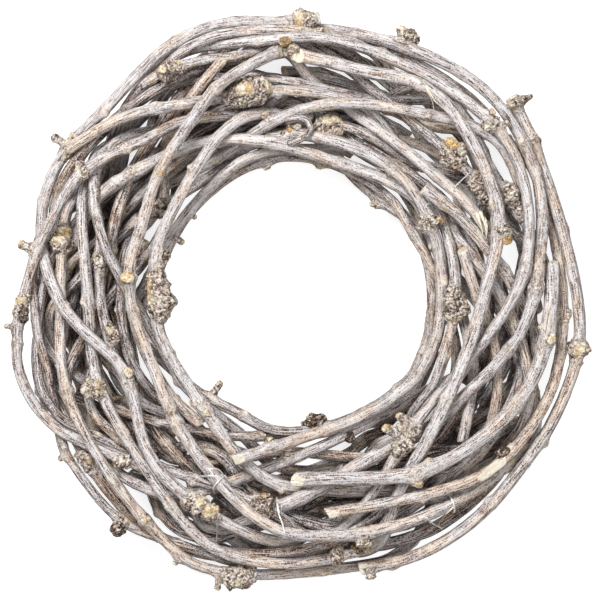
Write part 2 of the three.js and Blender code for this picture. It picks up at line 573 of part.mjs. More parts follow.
const NO_OFFSET = new THREE.Vector3();
for (const rod of rods) {
  for (let node = rod.first; node < rod.last; node += 1) {
    addCapsule(rod, node, 0, 1, NO_OFFSET, NO_OFFSET, rod.radius);
  }
  rod.knots = rod.cane.knots.map((knot) => ({ ...knot, ...spotOnRod(rod, knot.at) }));
  for (const knot of rod.knots) {
    addCapsule(rod, knot.node, knot.share, knot.share, NO_OFFSET, NO_OFFSET, rod.radius * knot.size * 1.06);
  }
  rod.burls = rod.cane.burls.map((burl) => ({ ...burl, ...spotOnRod(rod, burl.at) }));
  for (const burl of rod.burls) {
    burl.offset = new THREE.Vector3(burl.push[0], -burl.push[1], burl.push[2]);
    const spread = (0.225 * burl.length) / home[rod.first].distanceTo(home[rod.first + 1]);
    const [low, high] = [burl.share - spread, burl.share + spread];
    addCapsule(rod, burl.node, low, high, burl.offset, burl.offset, burl.radius * 1.02);
  }
  rod.stubs = rod.cane.stubs.map((stub) => ({ ...stub, ...spotOnRod(rod, stub.at) }));
  for (const stub of rod.stubs) {
    stub.out = new THREE.Vector3(stub.toward[0], -stub.toward[1], stub.toward[2]).normalize();
    const near = ({ at }) => Math.hypot(at[0] - stub.at[0], at[1] - stub.at[1]) < 18;
    const burl = rod.burls.find(near);
    stub.reach = (burl ? burl.radius : rod.radius * 1.1) + stub.length;
    const tip = stub.out.clone().multiplyScalar(stub.reach);
    addCapsule(rod, stub.node, stub.share, stub.share, NO_OFFSET, tip, stub.radius * 1.5);
  }
}

// Closest points of two capsules' axes, as the shares along each.
function closestShares(startA, endA, startB, endB) {
  const runA = endA.clone().sub(startA);
  const runB = endB.clone().sub(startB);
  const gap = startA.clone().sub(startB);
  const a = runA.dot(runA);
  const e = runB.dot(runB);
  const f = runB.dot(gap);
  if (a < 1e-9 && e < 1e-9) return [0, 0];
  if (a < 1e-9) return [0, THREE.MathUtils.clamp(f / e, 0, 1)];
  const c = runA.dot(gap);
  if (e < 1e-9) return [THREE.MathUtils.clamp(-c / a, 0, 1), 0];
  const b = runA.dot(runB);
  const spread = a * e - b * b;
  let shareA = spread > 1e-9 ? THREE.MathUtils.clamp((b * f - c * e) / spread, 0, 1) : 0.5;
  let shareB = (b * shareA + f) / e;
  if (shareB < 0) {
    shareB = 0;
    shareA = THREE.MathUtils.clamp(-c / a, 0, 1);
  } else if (shareB > 1) {
    shareB = 1;
    shareA = THREE.MathUtils.clamp((b - c) / a, 0, 1);
  }
  return [shareA, shareB];
}

function capsuleEnd(capsule, share, offset) {
  return place[capsule.node].clone().lerp(place[capsule.next], share).add(offset);
}

function nearPairs(reach) {
  const middles = capsules.map((capsule) => {
    const start = capsuleEnd(capsule, capsule.shareA, capsule.offsetA);
    const end = capsuleEnd(capsule, capsule.shareB, capsule.offsetB);
    return { middle: start.clone().lerp(end, 0.5), size: start.distanceTo(end) / 2 + capsule.radius };
  });
  const pairs = [];
  for (let i = 0; i < capsules.length; i += 1) {
    for (let j = i + 1; j < capsules.length; j += 1) {
      const sameRod = capsules[i].rod === capsules[j].rod;
      if (sameRod && (capsules[i].rod.isTie || Math.abs(capsules[i].node - capsules[j].node) < 4)) continue;
      const limit = middles[i].size + middles[j].size + reach;
      const apart = middles[i].middle.distanceToSquared(middles[j].middle);
      if (apart < limit * limit) pairs.push([capsules[i], capsules[j]]);
    }
  }
  return pairs;
}

// A node on the face moves mostly up and down, so that the canes keep the places that show.
function sideways(node) {
  return hold[node] > 0 ? 0.16 : 1;
}

// How two capsules lie: the direction from the second to the first, the gap between their skins, and
// the nodes that carry the nearest points.
function meeting(first, second) {
  const startA = capsuleEnd(first, first.shareA, first.offsetA);
  const endA = capsuleEnd(first, first.shareB, first.offsetB);
  const startB = capsuleEnd(second, second.shareA, second.offsetA);
  const endB = capsuleEnd(second, second.shareB, second.offsetB);
  const [shareA, shareB] = closestShares(startA, endA, startB, endB);
  const away = startA.lerp(endA, shareA).sub(startB.lerp(endB, shareB));
  const distance = away.length();
  if (distance < 1e-6) away.set(0, 0, 1);
  const partA = first.shareA + (first.shareB - first.shareA) * shareA;
  const partB = second.shareA + (second.shareB - second.shareA) * shareB;
  const moves = [
    [first.node, 1 - partA, 1], [first.next, partA, 1],
    [second.node, 1 - partB, -1], [second.next, partB, -1],
  ];
  return { away: away.normalize(), gap: distance - first.radius - second.radius, moves };
}

function shift({ away, moves }, amount) {
  const flat = away.x * away.x + away.y * away.y;
  let resistance = 0;
  for (const [node, weight] of moves) {
    resistance += weight * weight * (sideways(node) * flat + away.z * away.z);
  }
  const push = amount / Math.max(resistance, 1e-4);
  for (const [node, weight, direction] of moves) {
    const move = push * weight * direction;
    place[node].x += move * sideways(node) * away.x;
    place[node].y += move * sideways(node) * away.y;
    place[node].z += move * away.z;
  }
}

function separate(first, second) {
  const found = meeting(first, second);
  if (found.gap < CLEARANCE) shift(found, CLEARANCE - found.gap);
}

// Draws each cane that nothing touches towards the two canes nearest to it.
function gather() {
  const nearest = new Map(rods.map((rod) => [rod, new Map()]));
  for (const [first, second] of nearPairs(7)) {
    if (first.rod === second.rod) continue;
    const found = meeting(first, second);
    for (const [rod, other] of [[first.rod, second.rod], [second.rod, first.rod]]) {
      const known = nearest.get(rod).get(other);
      if (!known || found.gap < known.gap) nearest.get(rod).set(other, found);
    }
  }
  for (const others of nearest.values()) {
    const closest = [...others.values()].sort((one, two) => one.gap - two.gap).slice(0, 2);
    for (const found of closest) if (found.gap > TOUCH) shift(found, 0.5 * (CLEARANCE - found.gap));
  }
}

function keepShape(stiffness) {
  const change = new THREE.Vector3();
  for (const rod of rods.filter((each) => !each.isTie)) {
    for (let node = rod.first + 1; node < rod.last; node += 1) {
      change.addVectors(place[node - 1], place[node + 1]).multiplyScalar(0.5);
      change.sub(place[node]).sub(rest[node]);
      change.multiplyScalar(stiffness);
      place[node].addScaledVector(change, 1);
      place[node - 1].addScaledVector(change, -0.5);
      place[node + 1].addScaledVector(change, -0.5);
    }
    for (let node = rod.first; node < rod.last; node += 1) {
      const span = change.subVectors(place[node + 1], place[node]).length();
      const wanted = home[node + 1].distanceTo(home[node]);
      change.multiplyScalar((0.25 * (span - wanted)) / Math.max(span, 1e-6));
      place[node].add(change);
      place[node + 1].sub(change);
    }
  }
}

// Pulls each wire loop taut.
function tighten(stiffness) {
  for (const rod of rods.filter((each) => each.isTie)) {
    for (let node = rod.first; node <= rod.last; node += 1) {
      const before = node === rod.first ? rod.last : node - 1;
      const after = node === rod.last ? rod.first : node + 1;
      const middle = place[before].clone().lerp(place[after], 0.5);
      place[node].lerp(middle, 0.5 * stiffness);
    }
  }
}

function pullHome(strength) {
  for (const rod of rods.filter((each) => !each.isTie)) {
    for (let node = rod.first; node <= rod.last; node += 1) {
      const flat = strength * (hold[node] > 0 ? 0.35 : 0.03);
      place[node].x += flat * (home[node].x - place[node].x);
      place[node].y += flat * (home[node].y - place[node].y);
      place[node].z += strength * 0.03 * (home[node].z - place[node].z);
    }
  }
}

function standOnFloor() {
  for (const capsule of capsules) {
    const floor = capsule.radius * (capsule.isRun ? FLAT_FACE_DROP : 1);
    const ends = [[capsule.shareA, capsule.offsetA], [capsule.shareB, capsule.offsetB]];
    for (const [share, offset] of ends) {
      const low = floor - capsuleEnd(capsule, share, offset).z;
      if (low <= 0) continue;
      if (share < 0.5 || !capsule.isRun) place[capsule.node].z += low;
      if (share > 0.5 || !capsule.isRun) place[capsule.next].z += low;
    }
  }
}

function relax(rounds, stiffness, pull) {
  let pairs = [];
  for (let round = 0; round < rounds; round += 1) {
    if (round % 6 === 0) pairs = nearPairs(3);
    pullHome(pull);
    keepShape(stiffness);
    tighten(stiffness);
    for (const [first, second] of pairs) separate(first, second);
    standOnFloor();
  }
}

relax(240, 0.3, 1);
for (let round = 0; round < 12; round += 1) {
  gather();
  relax(4, 0.1, 0.1);
}

// Binding wires: each is one closed loop round a cane and the cane that lies nearest to it there.
const ties = [
  { at: [222, 479], cane: "front_left_long" },
  { at: [280, 514], cane: "bottom_broad_slant" },
  { at: [452, 507], cane: "front_left_long" },
];

function addTie({ at, cane }, index) {
  const main = rods.find((rod) => rod.cane.name === cane);
  const { node, share } = spotOnRod(main, at);
  const centre = place[node].clone().lerp(place[node + 1], share);
  const along = place[node + 1].clone().sub(place[node]).normalize();
  let best = { distance: Infinity };
  for (const capsule of capsules) {
    if (capsule.rod === main || !capsule.isRun) continue;
    const run = place[capsule.next].clone().sub(place[capsule.node]);
    const reached = centre.clone().sub(place[capsule.node]).dot(run);
    const part = THREE.MathUtils.clamp(reached / run.lengthSq(), 0, 1);
    const near = place[capsule.node].clone().addScaledVector(run, part);
    const crossing = 6 * (1 - Math.abs(run.normalize().dot(along)));
    const distance = near.distanceTo(centre) - capsule.radius + crossing;
    if (distance < best.distance) best = { distance, near, run, radius: capsule.radius };
  }
  const axis = along.clone().addScaledVector(best.run, Math.sign(best.run.dot(along)) || 1).normalize();
  const apart = best.near.clone().sub(centre);
  apart.addScaledVector(axis, -apart.dot(axis));
  const out = apart.clone().normalize();
  const across = new THREE.Vector3().crossVectors(axis, out);
  const middle = centre.clone().addScaledVector(apart, 0.5);
  const reach = 1.06 * (Math.max(main.radius, best.radius) + WIRE_RADIUS + CLEARANCE);
  const first = place.length;
  for (let step = 0; step < WIRE_NODES; step += 1) {
    const turn = ((step + 0.5) / WIRE_NODES) * 2 * Math.PI;
    const shiftOut = reach * Math.cos(turn) + (Math.sign(Math.cos(turn)) * apart.length()) / 2;
    const point = middle.clone().addScaledVector(out, shiftOut);
    point.addScaledVector(across, reach * Math.sin(turn));
    place.push(point);
    home.push(point.clone());
    hold.push(0);
  }
  const name = `tie_wire_${index + 1}`;
  const rod = { first, last: place.length - 1, radius: WIRE_RADIUS, isTie: true, axis, name };
  rods.push(rod);
  for (let step = first; step <= rod.last; step += 1) {
    const next = step === rod.last ? first : step + 1;
    addCapsule(rod, step, 0, 1, NO_OFFSET, NO_OFFSET, WIRE_RADIUS);
    capsules.at(-1).next = next;
  }
}

ties.forEach(addTie);

relax(60, 0.12, 0.3);
for (let round = 0; round < 6; round += 1) {
  gather();
  relax(6, 0.02, 0);
}
relax(90, 0.01, 0);

// The frame of a ring: along the cane, to its side, and up.
function ringFrame(rod, node, share) {
  const tangentAt = (index) => {
    const before = place[Math.max(rod.first, index - 1)];
    const after = place[Math.min(rod.last, index + 1)];
    return after.clone().sub(before).normalize();
  };
  const along = tangentAt(node);
  if (share > 0) along.lerp(tangentAt(node + 1), share).normalize();
  const side = new THREE.Vector3(along.y, -along.x, 0).normalize();
  const up = new THREE.Vector3().crossVectors(side, along).normalize();
  const centre = share > 0 ? place[node].clone().lerp(place[node + 1], share) : place[node].clone();
  return { along, side, up, centre };
}

// The rings of a cane's mesh: one at each node, and more where a knot, burl or stub swells it.
function ringPlan(rod) {
  const spacing = place[rod.first].distanceTo(place[rod.first + 1]);
  const plan = [];
  for (let node = rod.first; node <= rod.last; node += 1) plan.push({ run: (node - rod.first) * spacing });
  const features = [];
  for (const knot of rod.knots) features.push({ ...knot, steps: [-3.4, 0, 3.4], kind: "knot" });
  for (const burl of rod.burls) {
    const half = burl.length / 2;
    const steps = [-1, -0.62, -0.2, 0.25, 0.66, 1].map((part) => part * half);
    features.push({ ...burl, steps, kind: "burl" });
  }
  for (const stub of rod.stubs) {
    const near = stub.radius;
    features.push({ ...stub, steps: [-near - 1.6, -near, near, near + 1.6], kind: "stub" });
  }
  return { spacing, plan, features };
}

function ringsOf(rod) {
  const { spacing, plan, features } = ringPlan(rod);
  const length = (rod.last - rod.first) * spacing;
  for (const feature of features) {
    feature.run = (feature.node - rod.first + feature.share) * spacing;
    feature.run = THREE.MathUtils.clamp(feature.run, 5, length - 5);
    for (const step of feature.steps) {
      const run = feature.run + step;
      if (run > 0.8 && run < length - 0.8) plan.push({ run, added: true });
    }
  }
  plan.sort((one, two) => one.run - two.run);
  const rings = [];
  for (const item of plan) {
    const previous = rings.at(-1);
    const close = previous && item.run - previous.run < 1.3;
    if (close && item.added) continue;
    if (close && !item.added && previous.added) rings.pop();
    rings.push(item);
  }
  return { rings, features, length };
}

function swellAt(rod, features, run, direction) {
  let radius = rod.radius;
  for (const feature of features) {
    const away = Math.abs(run - feature.run);
    if (feature.kind === "knot") {
      radius = Math.max(radius, rod.radius * (1 + (feature.size - 1) * Math.exp(-((away / 4) ** 2))));
    }
    if (feature.kind === "burl" && away < feature.length / 2) {
      const bulge = Math.sqrt(Math.max(0, 1 - (away / (feature.length / 2)) ** 2));
      const lean = direction.dot(feature.offset);
      radius = Math.max(radius, (feature.radius + lean) * bulge * between(0.88, 1.04));
    }
  }
  return radius;
}

function tieGeometry(rod) {
  const rows = [];
  for (let node = rod.first; node <= rod.last; node += 1) {
    const before = place[node === rod.first ? rod.last : node - 1];
    const after = place[node === rod.last ? rod.first : node + 1];
    const along = after.clone().sub(before).normalize();
    const side = rod.axis.clone().addScaledVector(along, -rod.axis.dot(along)).normalize();
    const up = new THREE.Vector3().crossVectors(side, along);
    const row = [];
    for (let corner = 0; corner < WIRE_SIDES; corner += 1) {
      const angle = (corner / WIRE_SIDES) * 2 * Math.PI;
      const out = side.clone().multiplyScalar(Math.cos(angle)).addScaledVector(up, Math.sin(angle));
      row.push(place[node].clone().addScaledVector(out, rod.radius));
    }
    rows.push({ row });
  }
  return tubeGeometry(rows, true);
}

function caneGeometry(rod) {
  const { rings, features, length } = ringsOf(rod);
  const rows = rings.map(({ run }) => {
    const spacing = length / (rod.last - rod.first);
    const node = Math.min(rod.last, rod.first + Math.floor(run / spacing + 1e-6));
    const share = node === rod.last ? 0 : Math.max(0, run / spacing - (node - rod.first));
    const frame = ringFrame(rod, node, share < 1e-4 ? 0 : share);
    const row = [];
    for (let corner = 0; corner < CANE_SIDES; corner += 1) {
      const angle = (corner / CANE_SIDES) * 2 * Math.PI;
      const out = frame.side.clone().multiplyScalar(Math.cos(angle));
      out.addScaledVector(frame.up, Math.sin(angle));
      row.push(frame.centre.clone().addScaledVector(out, swellAt(rod, features, run, out)));
    }
    return { run, frame, row };
  });
  for (const stub of features.filter((feature) => feature.kind === "stub")) growStub(rows, stub);
  return tubeGeometry(rows, false);
}

// Draws the two nearest corners of the two nearest rings out to the stub's end.
function growStub(rows, stub) {
  const middle = rows.reduce((best, row, index) => {
    const away = Math.abs(row.run - (stub.run - stub.radius));
    return away < best.away ? { away, index } : best;
  }, { away: Infinity, index: 0 }).index;
  const index = THREE.MathUtils.clamp(middle, 1, rows.length - 3);
  const { frame } = rows[index];
  const out = stub.out.clone().addScaledVector(frame.along, -stub.out.dot(frame.along)).normalize();
  const angle = Math.atan2(out.dot(frame.up), out.dot(frame.side));
  const corner = (Math.floor((angle / (2 * Math.PI)) * CANE_SIDES) + 2 * CANE_SIDES) % CANE_SIDES;
  const next = (corner + 1) % CANE_SIDES;
  const centre = frame.centre.clone().lerp(rows[index + 1].frame.centre, 0.5);
  const tip = centre.clone().addScaledVector(out, stub.reach);
  const across = new THREE.Vector3().crossVectors(frame.along, out).normalize();
  for (const [row, alongSign] of [[rows[index].row, -1], [rows[index + 1].row, 1]]) {
    for (const [which, acrossSign] of [[corner, 1], [next, -1]]) {
      row[which].copy(tip);
      row[which].addScaledVector(frame.along, alongSign * stub.radius * 0.85);
      row[which].addScaledVector(across, acrossSign * stub.radius * 0.85);
    }
  }
}

// Joins rows of corners into one closed skin. An open run gets a slightly domed cap at each end.
function tubeGeometry(rows, closed) {
  const sides = rows[0].row.length;
  const positions = [];
  for (const { row } of rows) {
    for (const corner of row) positions.push(corner.x, corner.y, corner.z < FLOOR_SNAP ? 0 : corner.z);
  }
  const faces = [];
  const links = closed ? rows.length : rows.length - 1;
  for (let link = 0; link < links; link += 1) {
    const base = link * sides;
    const ahead = ((link + 1) % rows.length) * sides;
    for (let corner = 0; corner < sides; corner += 1) {
      const next = (corner + 1) % sides;
      faces.push(base + corner, ahead + next, base + next, base + corner, ahead + corner, ahead + next);
    }
  }
  if (!closed) {
    for (const [row, direction] of [[rows[0], -1], [rows.at(-1), 1]]) {
      const centre = row.frame.centre.clone().addScaledVector(row.frame.along, direction * 0.6);
      const hub = positions.length / 3;
      positions.push(centre.x, centre.y, Math.max(0.2, centre.z));
      const base = direction < 0 ? 0 : (rows.length - 1) * sides;
      for (let corner = 0; corner < sides; corner += 1) {
        const next = (corner + 1) % sides;
        if (direction < 0) faces.push(hub, base + corner, base + next);
        else faces.push(hub, base + next, base + corner);
      }
    }
  }
  const geometry = new THREE.BufferGeometry();
  geometry.setAttribute("position", new THREE.Float32BufferAttribute(positions, 3));
  geometry.setIndex(faces);
  geometry.computeVertexNormals();
  return geometry;
}

// Greyed bark, with each cane a little lighter, darker or warmer than the next.
function barkMaterial() {
  const colour = new THREE.Color().setHSL(between(0.05, 0.1), between(0.08, 0.2), between(0.5, 0.68));
  return new THREE.MeshStandardMaterial({ color: colour, roughness: 0.85, metalness: 0 });
}

const group = new THREE.Group();
const wireMaterial = new THREE.MeshStandardMaterial({ color: 0xb9bdc4, roughness: 0.35, metalness: 1 });
for (const rod of rods) {
  const geometry = rod.isTie ? tieGeometry(rod) : caneGeometry(rod);
  const mesh = new THREE.Mesh(geometry, rod.isTie ? wireMaterial : barkMaterial());
  mesh.name = rod.isTie ? rod.name : `cane_${rod.cane.name}`;
  group.add(mesh);
}

const box = new THREE.Box3().setFromObject(group);
const middle = box.getCenter(new THREE.Vector3());
group.position.set(-middle.x, -middle.y, -box.min.z);

export default group;
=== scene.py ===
"""A grapevine wreath lying face up: dried vine canes wound into a ring, seen from straight above."""

import bpy
import numpy as np
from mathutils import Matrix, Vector
from mathutils.bvhtree import BVHTree


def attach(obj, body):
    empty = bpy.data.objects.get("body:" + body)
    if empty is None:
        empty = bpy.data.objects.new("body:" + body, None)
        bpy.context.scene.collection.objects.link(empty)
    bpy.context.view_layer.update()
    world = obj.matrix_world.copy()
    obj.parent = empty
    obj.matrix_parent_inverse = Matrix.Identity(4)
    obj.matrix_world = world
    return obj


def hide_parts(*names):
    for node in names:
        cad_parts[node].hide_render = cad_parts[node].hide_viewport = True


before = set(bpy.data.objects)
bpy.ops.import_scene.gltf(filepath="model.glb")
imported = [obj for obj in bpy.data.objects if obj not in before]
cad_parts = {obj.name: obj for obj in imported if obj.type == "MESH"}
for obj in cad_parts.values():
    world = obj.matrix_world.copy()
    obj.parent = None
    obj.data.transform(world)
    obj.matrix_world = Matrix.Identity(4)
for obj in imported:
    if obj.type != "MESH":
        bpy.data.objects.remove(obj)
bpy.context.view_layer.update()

# The camera stands far above the wreath and looks straight down, with the top of the wreath upwards.
# Its lens is long, so that near and far canes are drawn at almost the same size.
VIEW_WIDTH = 0.360
VIEW_MIDDLE = (0.0008, 0.0002)
CAMERA_HEIGHT = 2.6
FACE_HEIGHT = 0.045
SENSOR = 36.0
FARTHEST_SEEN = 20.0

eye = bpy.data.cameras.new("studio_camera")
eye.sensor_width = SENSOR
eye.lens = SENSOR * (CAMERA_HEIGHT - FACE_HEIGHT) / VIEW_WIDTH
eye.clip_end = FARTHEST_SEEN
camera = bpy.data.objects.new("studio_camera", eye)
camera.location = (*VIEW_MIDDLE, CAMERA_HEIGHT)
bpy.context.scene.collection.objects.link(camera)
bpy.context.scene.camera = camera


# The back canes, which lie against the table or the wall and hold the others together from behind.
# Each is a year's growth of vine, dried and greyed, with the bark on and its side shoots pruned off.
# Its two numbers are the tone of its bark, higher for paler, and the warmth, higher for tan than for lilac.
BACK_CANES = {"back_1": (0.46, 0.10), "back_2": (0.50, 0.06), "back_3": (0.42, 0.12)}

CRACK = (0.028, 0.019, 0.016, 1)
LILAC_DARK = (0.108, 0.086, 0.083, 1)
LILAC_GREY = (0.292, 0.260, 0.258, 1)
LILAC_PALE = (0.462, 0.426, 0.421, 1)
LILAC_BLEACHED = (0.614, 0.589, 0.584, 1)
TAN_DARK = (0.120, 0.076, 0.055, 1)
TAN_MID = (0.350, 0.246, 0.184, 1)
TAN_PALE = (0.535, 0.426, 0.348, 1)
TAN_BLEACHED = (0.638, 0.560, 0.486, 1)
RED_STAIN = (0.210, 0.098, 0.065, 1)
# The darkest crust colour is painted shade in the crust's pits and between its crumbs.
CRUST_PIT_SHADE = (0.022, 0.015, 0.012, 1)
CRUST_BROWN = (0.190, 0.142, 0.108, 1)
CRUST_TAN = (0.440, 0.362, 0.295, 1)
CRUST_CREAM = (0.770, 0.710, 0.630, 1)
CUT_OCHRE = (0.560, 0.330, 0.095, 1)
CUT_STRAW = (0.760, 0.580, 0.320, 1)
CUT_CREAM = (0.900, 0.840, 0.710, 1)

LILAC_BARK = (CRACK, LILAC_DARK, LILAC_GREY, LILAC_PALE, LILAC_BLEACHED)
TAN_BARK = (CRACK, TAN_DARK, TAN_MID, TAN_PALE, TAN_BLEACHED)
BARK_STEPS = (0.37, 0.43, 0.485, 0.535, 0.61)
CRUST = (CRUST_PIT_SHADE, CRUST_BROWN, CRUST_TAN, CRUST_CREAM)
CRUST_STEPS = (0.12, 0.27, 0.44, 0.68)
BARE_WOOD = (TAN_DARK, CUT_OCHRE, CUT_STRAW, CUT_CREAM)
WOOD_STEPS = (0.30, 0.42, 0.52, 0.66)

# Patterns: their scale to the metre across and along the grain, then the noise's detail and roughness,
# or the dots' size in cells and the share of the cells that has one.
SPLITS = (1150, 42, 5.0, 0.66)
FIBRES = (1700, 95, 2.0, 0.55)
MOTTLE = (430, 190, 5.0, 0.70)
SPECKS = (1700, 1500, 2.0, 0.60)
ZONES = (110, 34, 3.0, 0.55)
STAINS = (330, 170, 4.0, 0.60)
CRUMBS = (1500, 1500, 4.0, 0.7)
RED_DOTS = (380, 250, 0.30, 0.26)
PALE_DOTS = (640, 430, 0.30, 0.30)
GRANULES = 1000.0
MEAN_LIGHT = 0.754


def wire_up(tree, kind, inputs=None, **settings):
    """Adds one shader node, sets its options, and joins or sets each input named."""
    node = tree.nodes.new(kind)
    for key, value in settings.items():
        setattr(node, key, value)
    for key, value in (inputs or {}).items():
        if isinstance(value, bpy.types.NodeSocket):
            tree.links.new(value, node.inputs[key])
        else:
            node.inputs[key].default_value = value
    return node


def blank_finish(name):
    """A new material, its node tree, and the node that shades its surface."""
    material = bpy.data.materials.new(name)
    material.use_nodes = True
    return material, material.node_tree, material.node_tree.nodes["Principled BSDF"]


def sum_of(tree, operation, first, second):
    """One sum of two numbers, such as their product."""
    return wire_up(tree, "ShaderNodeMath", {0: first, 1: second}, operation=operation).outputs[0]


def weighed(tree, *terms):
    """Several values, each times its own weight, added up."""
    total, *others = (sum_of(tree, "MULTIPLY", value, weight) for value, weight in terms)
    for term in others:
        total = sum_of(tree, "ADD", total, term)
    return total


def blend_colours(tree, share, first, second, most=None):
    """A mix of two colours: first where share is 0, and second, or `most` of it, where share is 1."""
    if most:
        share = sum_of(tree, "MULTIPLY", share, most)
    return wire_up(tree, "ShaderNodeMix", {0: share, 6: first, 7: second}, data_type="RGBA").outputs[2]


def step_up(tree, value, low, high):
    """A smooth step: 0 below low, 1 above high."""
    inputs = {"Value": value, "From Min": low, "From Max": high}
    return wire_up(tree, "ShaderNodeMapRange", inputs, interpolation_type="SMOOTHSTEP").outputs[0]


def colour_ladder(tree, value, heights, colours):
    """A colour read from a ladder, with each colour at its own height."""
    node = wire_up(tree, "ShaderNodeValToRGB", {0: value})
    rungs = node.color_ramp.elements
    while len(rungs) < len(heights):
        rungs.new(0.5)
    for rung, height, colour in zip(rungs, heights, colours):
        rung.position = height
        rung.color = colour
    return node.outputs[0]


def stretched(tree, grain, across, along):
    """The cane's own straightened space, `across` and `along` units to the metre."""
    scale = {0: grain, 1: (across, across, along)}
    return wire_up(tree, "ShaderNodeVectorMath", scale, operation="MULTIPLY").outputs[0]


def grain_noise(tree, grain, across, along, detail, roughness):
    """Noise drawn out along the grain."""
    inputs = {"Vector": stretched(tree, grain, across, along), "Scale": 1.0, "Detail": detail}
    return wire_up(tree, "ShaderNodeTexNoise", {**inputs, "Roughness": roughness}).outputs["Fac"]


def grain_dots(tree, grain, across, along, size, density):
    """Scattered round dots: 1 inside a dot of `size` cells across, in a `density` share of the cells."""
    inputs = {"Vector": stretched(tree, grain, across, along), "Scale": 1.0}
    cells = wire_up(tree, "ShaderNodeTexVoronoi", inputs)
    inside = step_up(tree, cells.outputs["Distance"], size, size * 0.55)
    draw = wire_up(tree, "ShaderNodeSeparateXYZ", {0: cells.outputs["Color"]}).outputs[0]
    return sum_of(tree, "MULTIPLY", inside, step_up(tree, draw, 1.0 - density, 1.02 - density))


def weathered_bark():
    """Greyed vine bark: cracks along the grain, lilac and tan zones, red stains, red and pale dots,
    a crumbly crust where `crust` says so, and bare straw-coloured wood where `finish` says it was cut."""
    material, tree, surface = blank_finish("weathered_vine_bark")
    grain, finish, crust = (wire_up(tree, "ShaderNodeAttribute", attribute_name=name).outputs["Vector"]
                            for name in ("grain", "finish", "crust"))
    tone, warmth, cut = wire_up(tree, "ShaderNodeSeparateXYZ", {0: finish}).outputs
    gnarl, brightness, pit_shade = wire_up(tree, "ShaderNodeSeparateXYZ", {0: crust}).outputs
    splits, fibres, mottle, specks, zones, stains, crumbs = (
        grain_noise(tree, grain, *pattern)
        for pattern in (SPLITS, FIBRES, MOTTLE, SPECKS, ZONES, STAINS, CRUMBS)
    )

    # The tone already carries the painted shade that piece_from_parts takes off inside the ring and on
    # flanks.
    light = weighed(tree, (splits, 0.46), (mottle, 0.32), (fibres, 0.68), (specks, 0.74), (tone, 0.34))
    light = sum_of(tree, "SUBTRACT", light, MEAN_LIGHT)
    lilac = colour_ladder(tree, light, BARK_STEPS, LILAC_BARK)
    tan = colour_ladder(tree, light, BARK_STEPS, TAN_BARK)
    warm = step_up(tree, sum_of(tree, "ADD", zones, warmth), 0.50, 0.74)
    colour = blend_colours(tree, warm, lilac, tan)
    colour = blend_colours(tree, step_up(tree, stains, 0.55, 0.68), colour, RED_STAIN, 0.55)
    colour = blend_colours(tree, grain_dots(tree, grain, *RED_DOTS), colour, RED_STAIN, 0.65)
    flecks = grain_dots(tree, grain, *PALE_DOTS)
    flecks = sum_of(tree, "MULTIPLY", flecks, step_up(tree, light, 0.42, 0.50))
    colour = blend_colours(tree, flecks, colour, LILAC_BLEACHED, 0.75)

    granules = wire_up(tree, "ShaderNodeTexVoronoi", {"Vector": grain, "Scale": GRANULES})
    grit, redness, _ = wire_up(tree, "ShaderNodeSeparateXYZ", {0: granules.outputs["Color"]}).outputs
    edge = granules.outputs["Distance"]
    # Painted shade: the crust darkens in its pits and towards the edges of its granules.
    lit = weighed(tree, (crumbs, 0.55), (brightness, 0.34), (grit, 0.66), (edge, -0.30), (pit_shade, -0.46))
    shell = colour_ladder(tree, lit, CRUST_STEPS, CRUST)
    shell = blend_colours(tree, step_up(tree, redness, 0.74, 0.80), shell, RED_STAIN, 0.55)
    colour = blend_colours(tree, gnarl, colour, shell)
    pith = weighed(tree, (crumbs, 0.8), (brightness, 0.34))
    colour = blend_colours(tree, cut, colour, colour_ladder(tree, pith, WOOD_STEPS, BARE_WOOD))

    crumbly = sum_of(tree, "MAXIMUM", gnarl, cut)
    rough = sum_of(tree, "MULTIPLY", weighed(tree, (crumbs, 1.0), (edge, -0.8)), crumbly)
    height = weighed(tree, (splits, 0.6), (fibres, 0.50), (mottle, 0.35), (specks, 0.45), (rough, 1.3))
    bump = wire_up(tree, "ShaderNodeBump", {"Strength": 0.85, "Distance": 0.0010, "Height": height})
    tree.links.new(colour, surface.inputs["Base Color"])
    tree.links.new(bump.outputs[0], surface.inputs["Normal"])
    surface.inputs["Roughness"].default_value = 0.84
    surface.inputs["Specular IOR Level"].default_value = 0.22
    return material


bark = weathered_bark()

DIRECTIONS = 24
NEARLY_ALL = (3, 97)
# The painted shade on the bark: deeper inside the ring, and on flanks that face sideways or down.
INSIDE_SHADE_FROM = 0.60
INSIDE_SHADE_RISE = 0.50
INSIDE_SHADE_CURVE = 1.5
SHADE_DROP = 0.19
FLANK_PAINTED_SHADE = 0.15
MERGE_DIGITS = 6


def solid_corners(node):
    """The corners of a solid as rows of x, y and z."""
    place = np.empty(len(node.data.vertices) * 3, np.float32)
    node.data.vertices.foreach_get("co", place)
    return place.reshape(-1, 3).astype(float)


def solid_faces(node):
    """The triangles of a solid as rows of three corner numbers."""
    corner = np.empty(len(node.data.loops), np.int32)
    node.data.loops.foreach_get("vertex_index", corner)
    return corner.reshape(-1, 3)


def merged_corners(node):
    """A solid's corners with their doubles merged, and the new number of each old corner."""
    rounded = np.round(solid_corners(node), MERGE_DIGITS)
    corners, number = np.unique(rounded, axis=0, return_inverse=True)
    return corners, number.reshape(-1)


solid_canes = [node for name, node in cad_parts.items() if name.startswith("cane_")]
every_corner = np.concatenate([solid_corners(node) for node in solid_canes])
ring_reach = np.hypot(every_corner[:, 0], every_corner[:, 1])
ring_turn = np.arctan2(every_corner[:, 1], every_corner[:, 0]) % (2 * np.pi)
ring_slot = (ring_turn / (2 * np.pi) * DIRECTIONS).astype(int) % DIRECTIONS
ring_edges = np.array([np.percentile(ring_reach[ring_slot == slot], NEARLY_ALL)
                       for slot in range(DIRECTIONS)])
ring_levels = np.percentile(every_corner[:, 2], NEARLY_ALL)


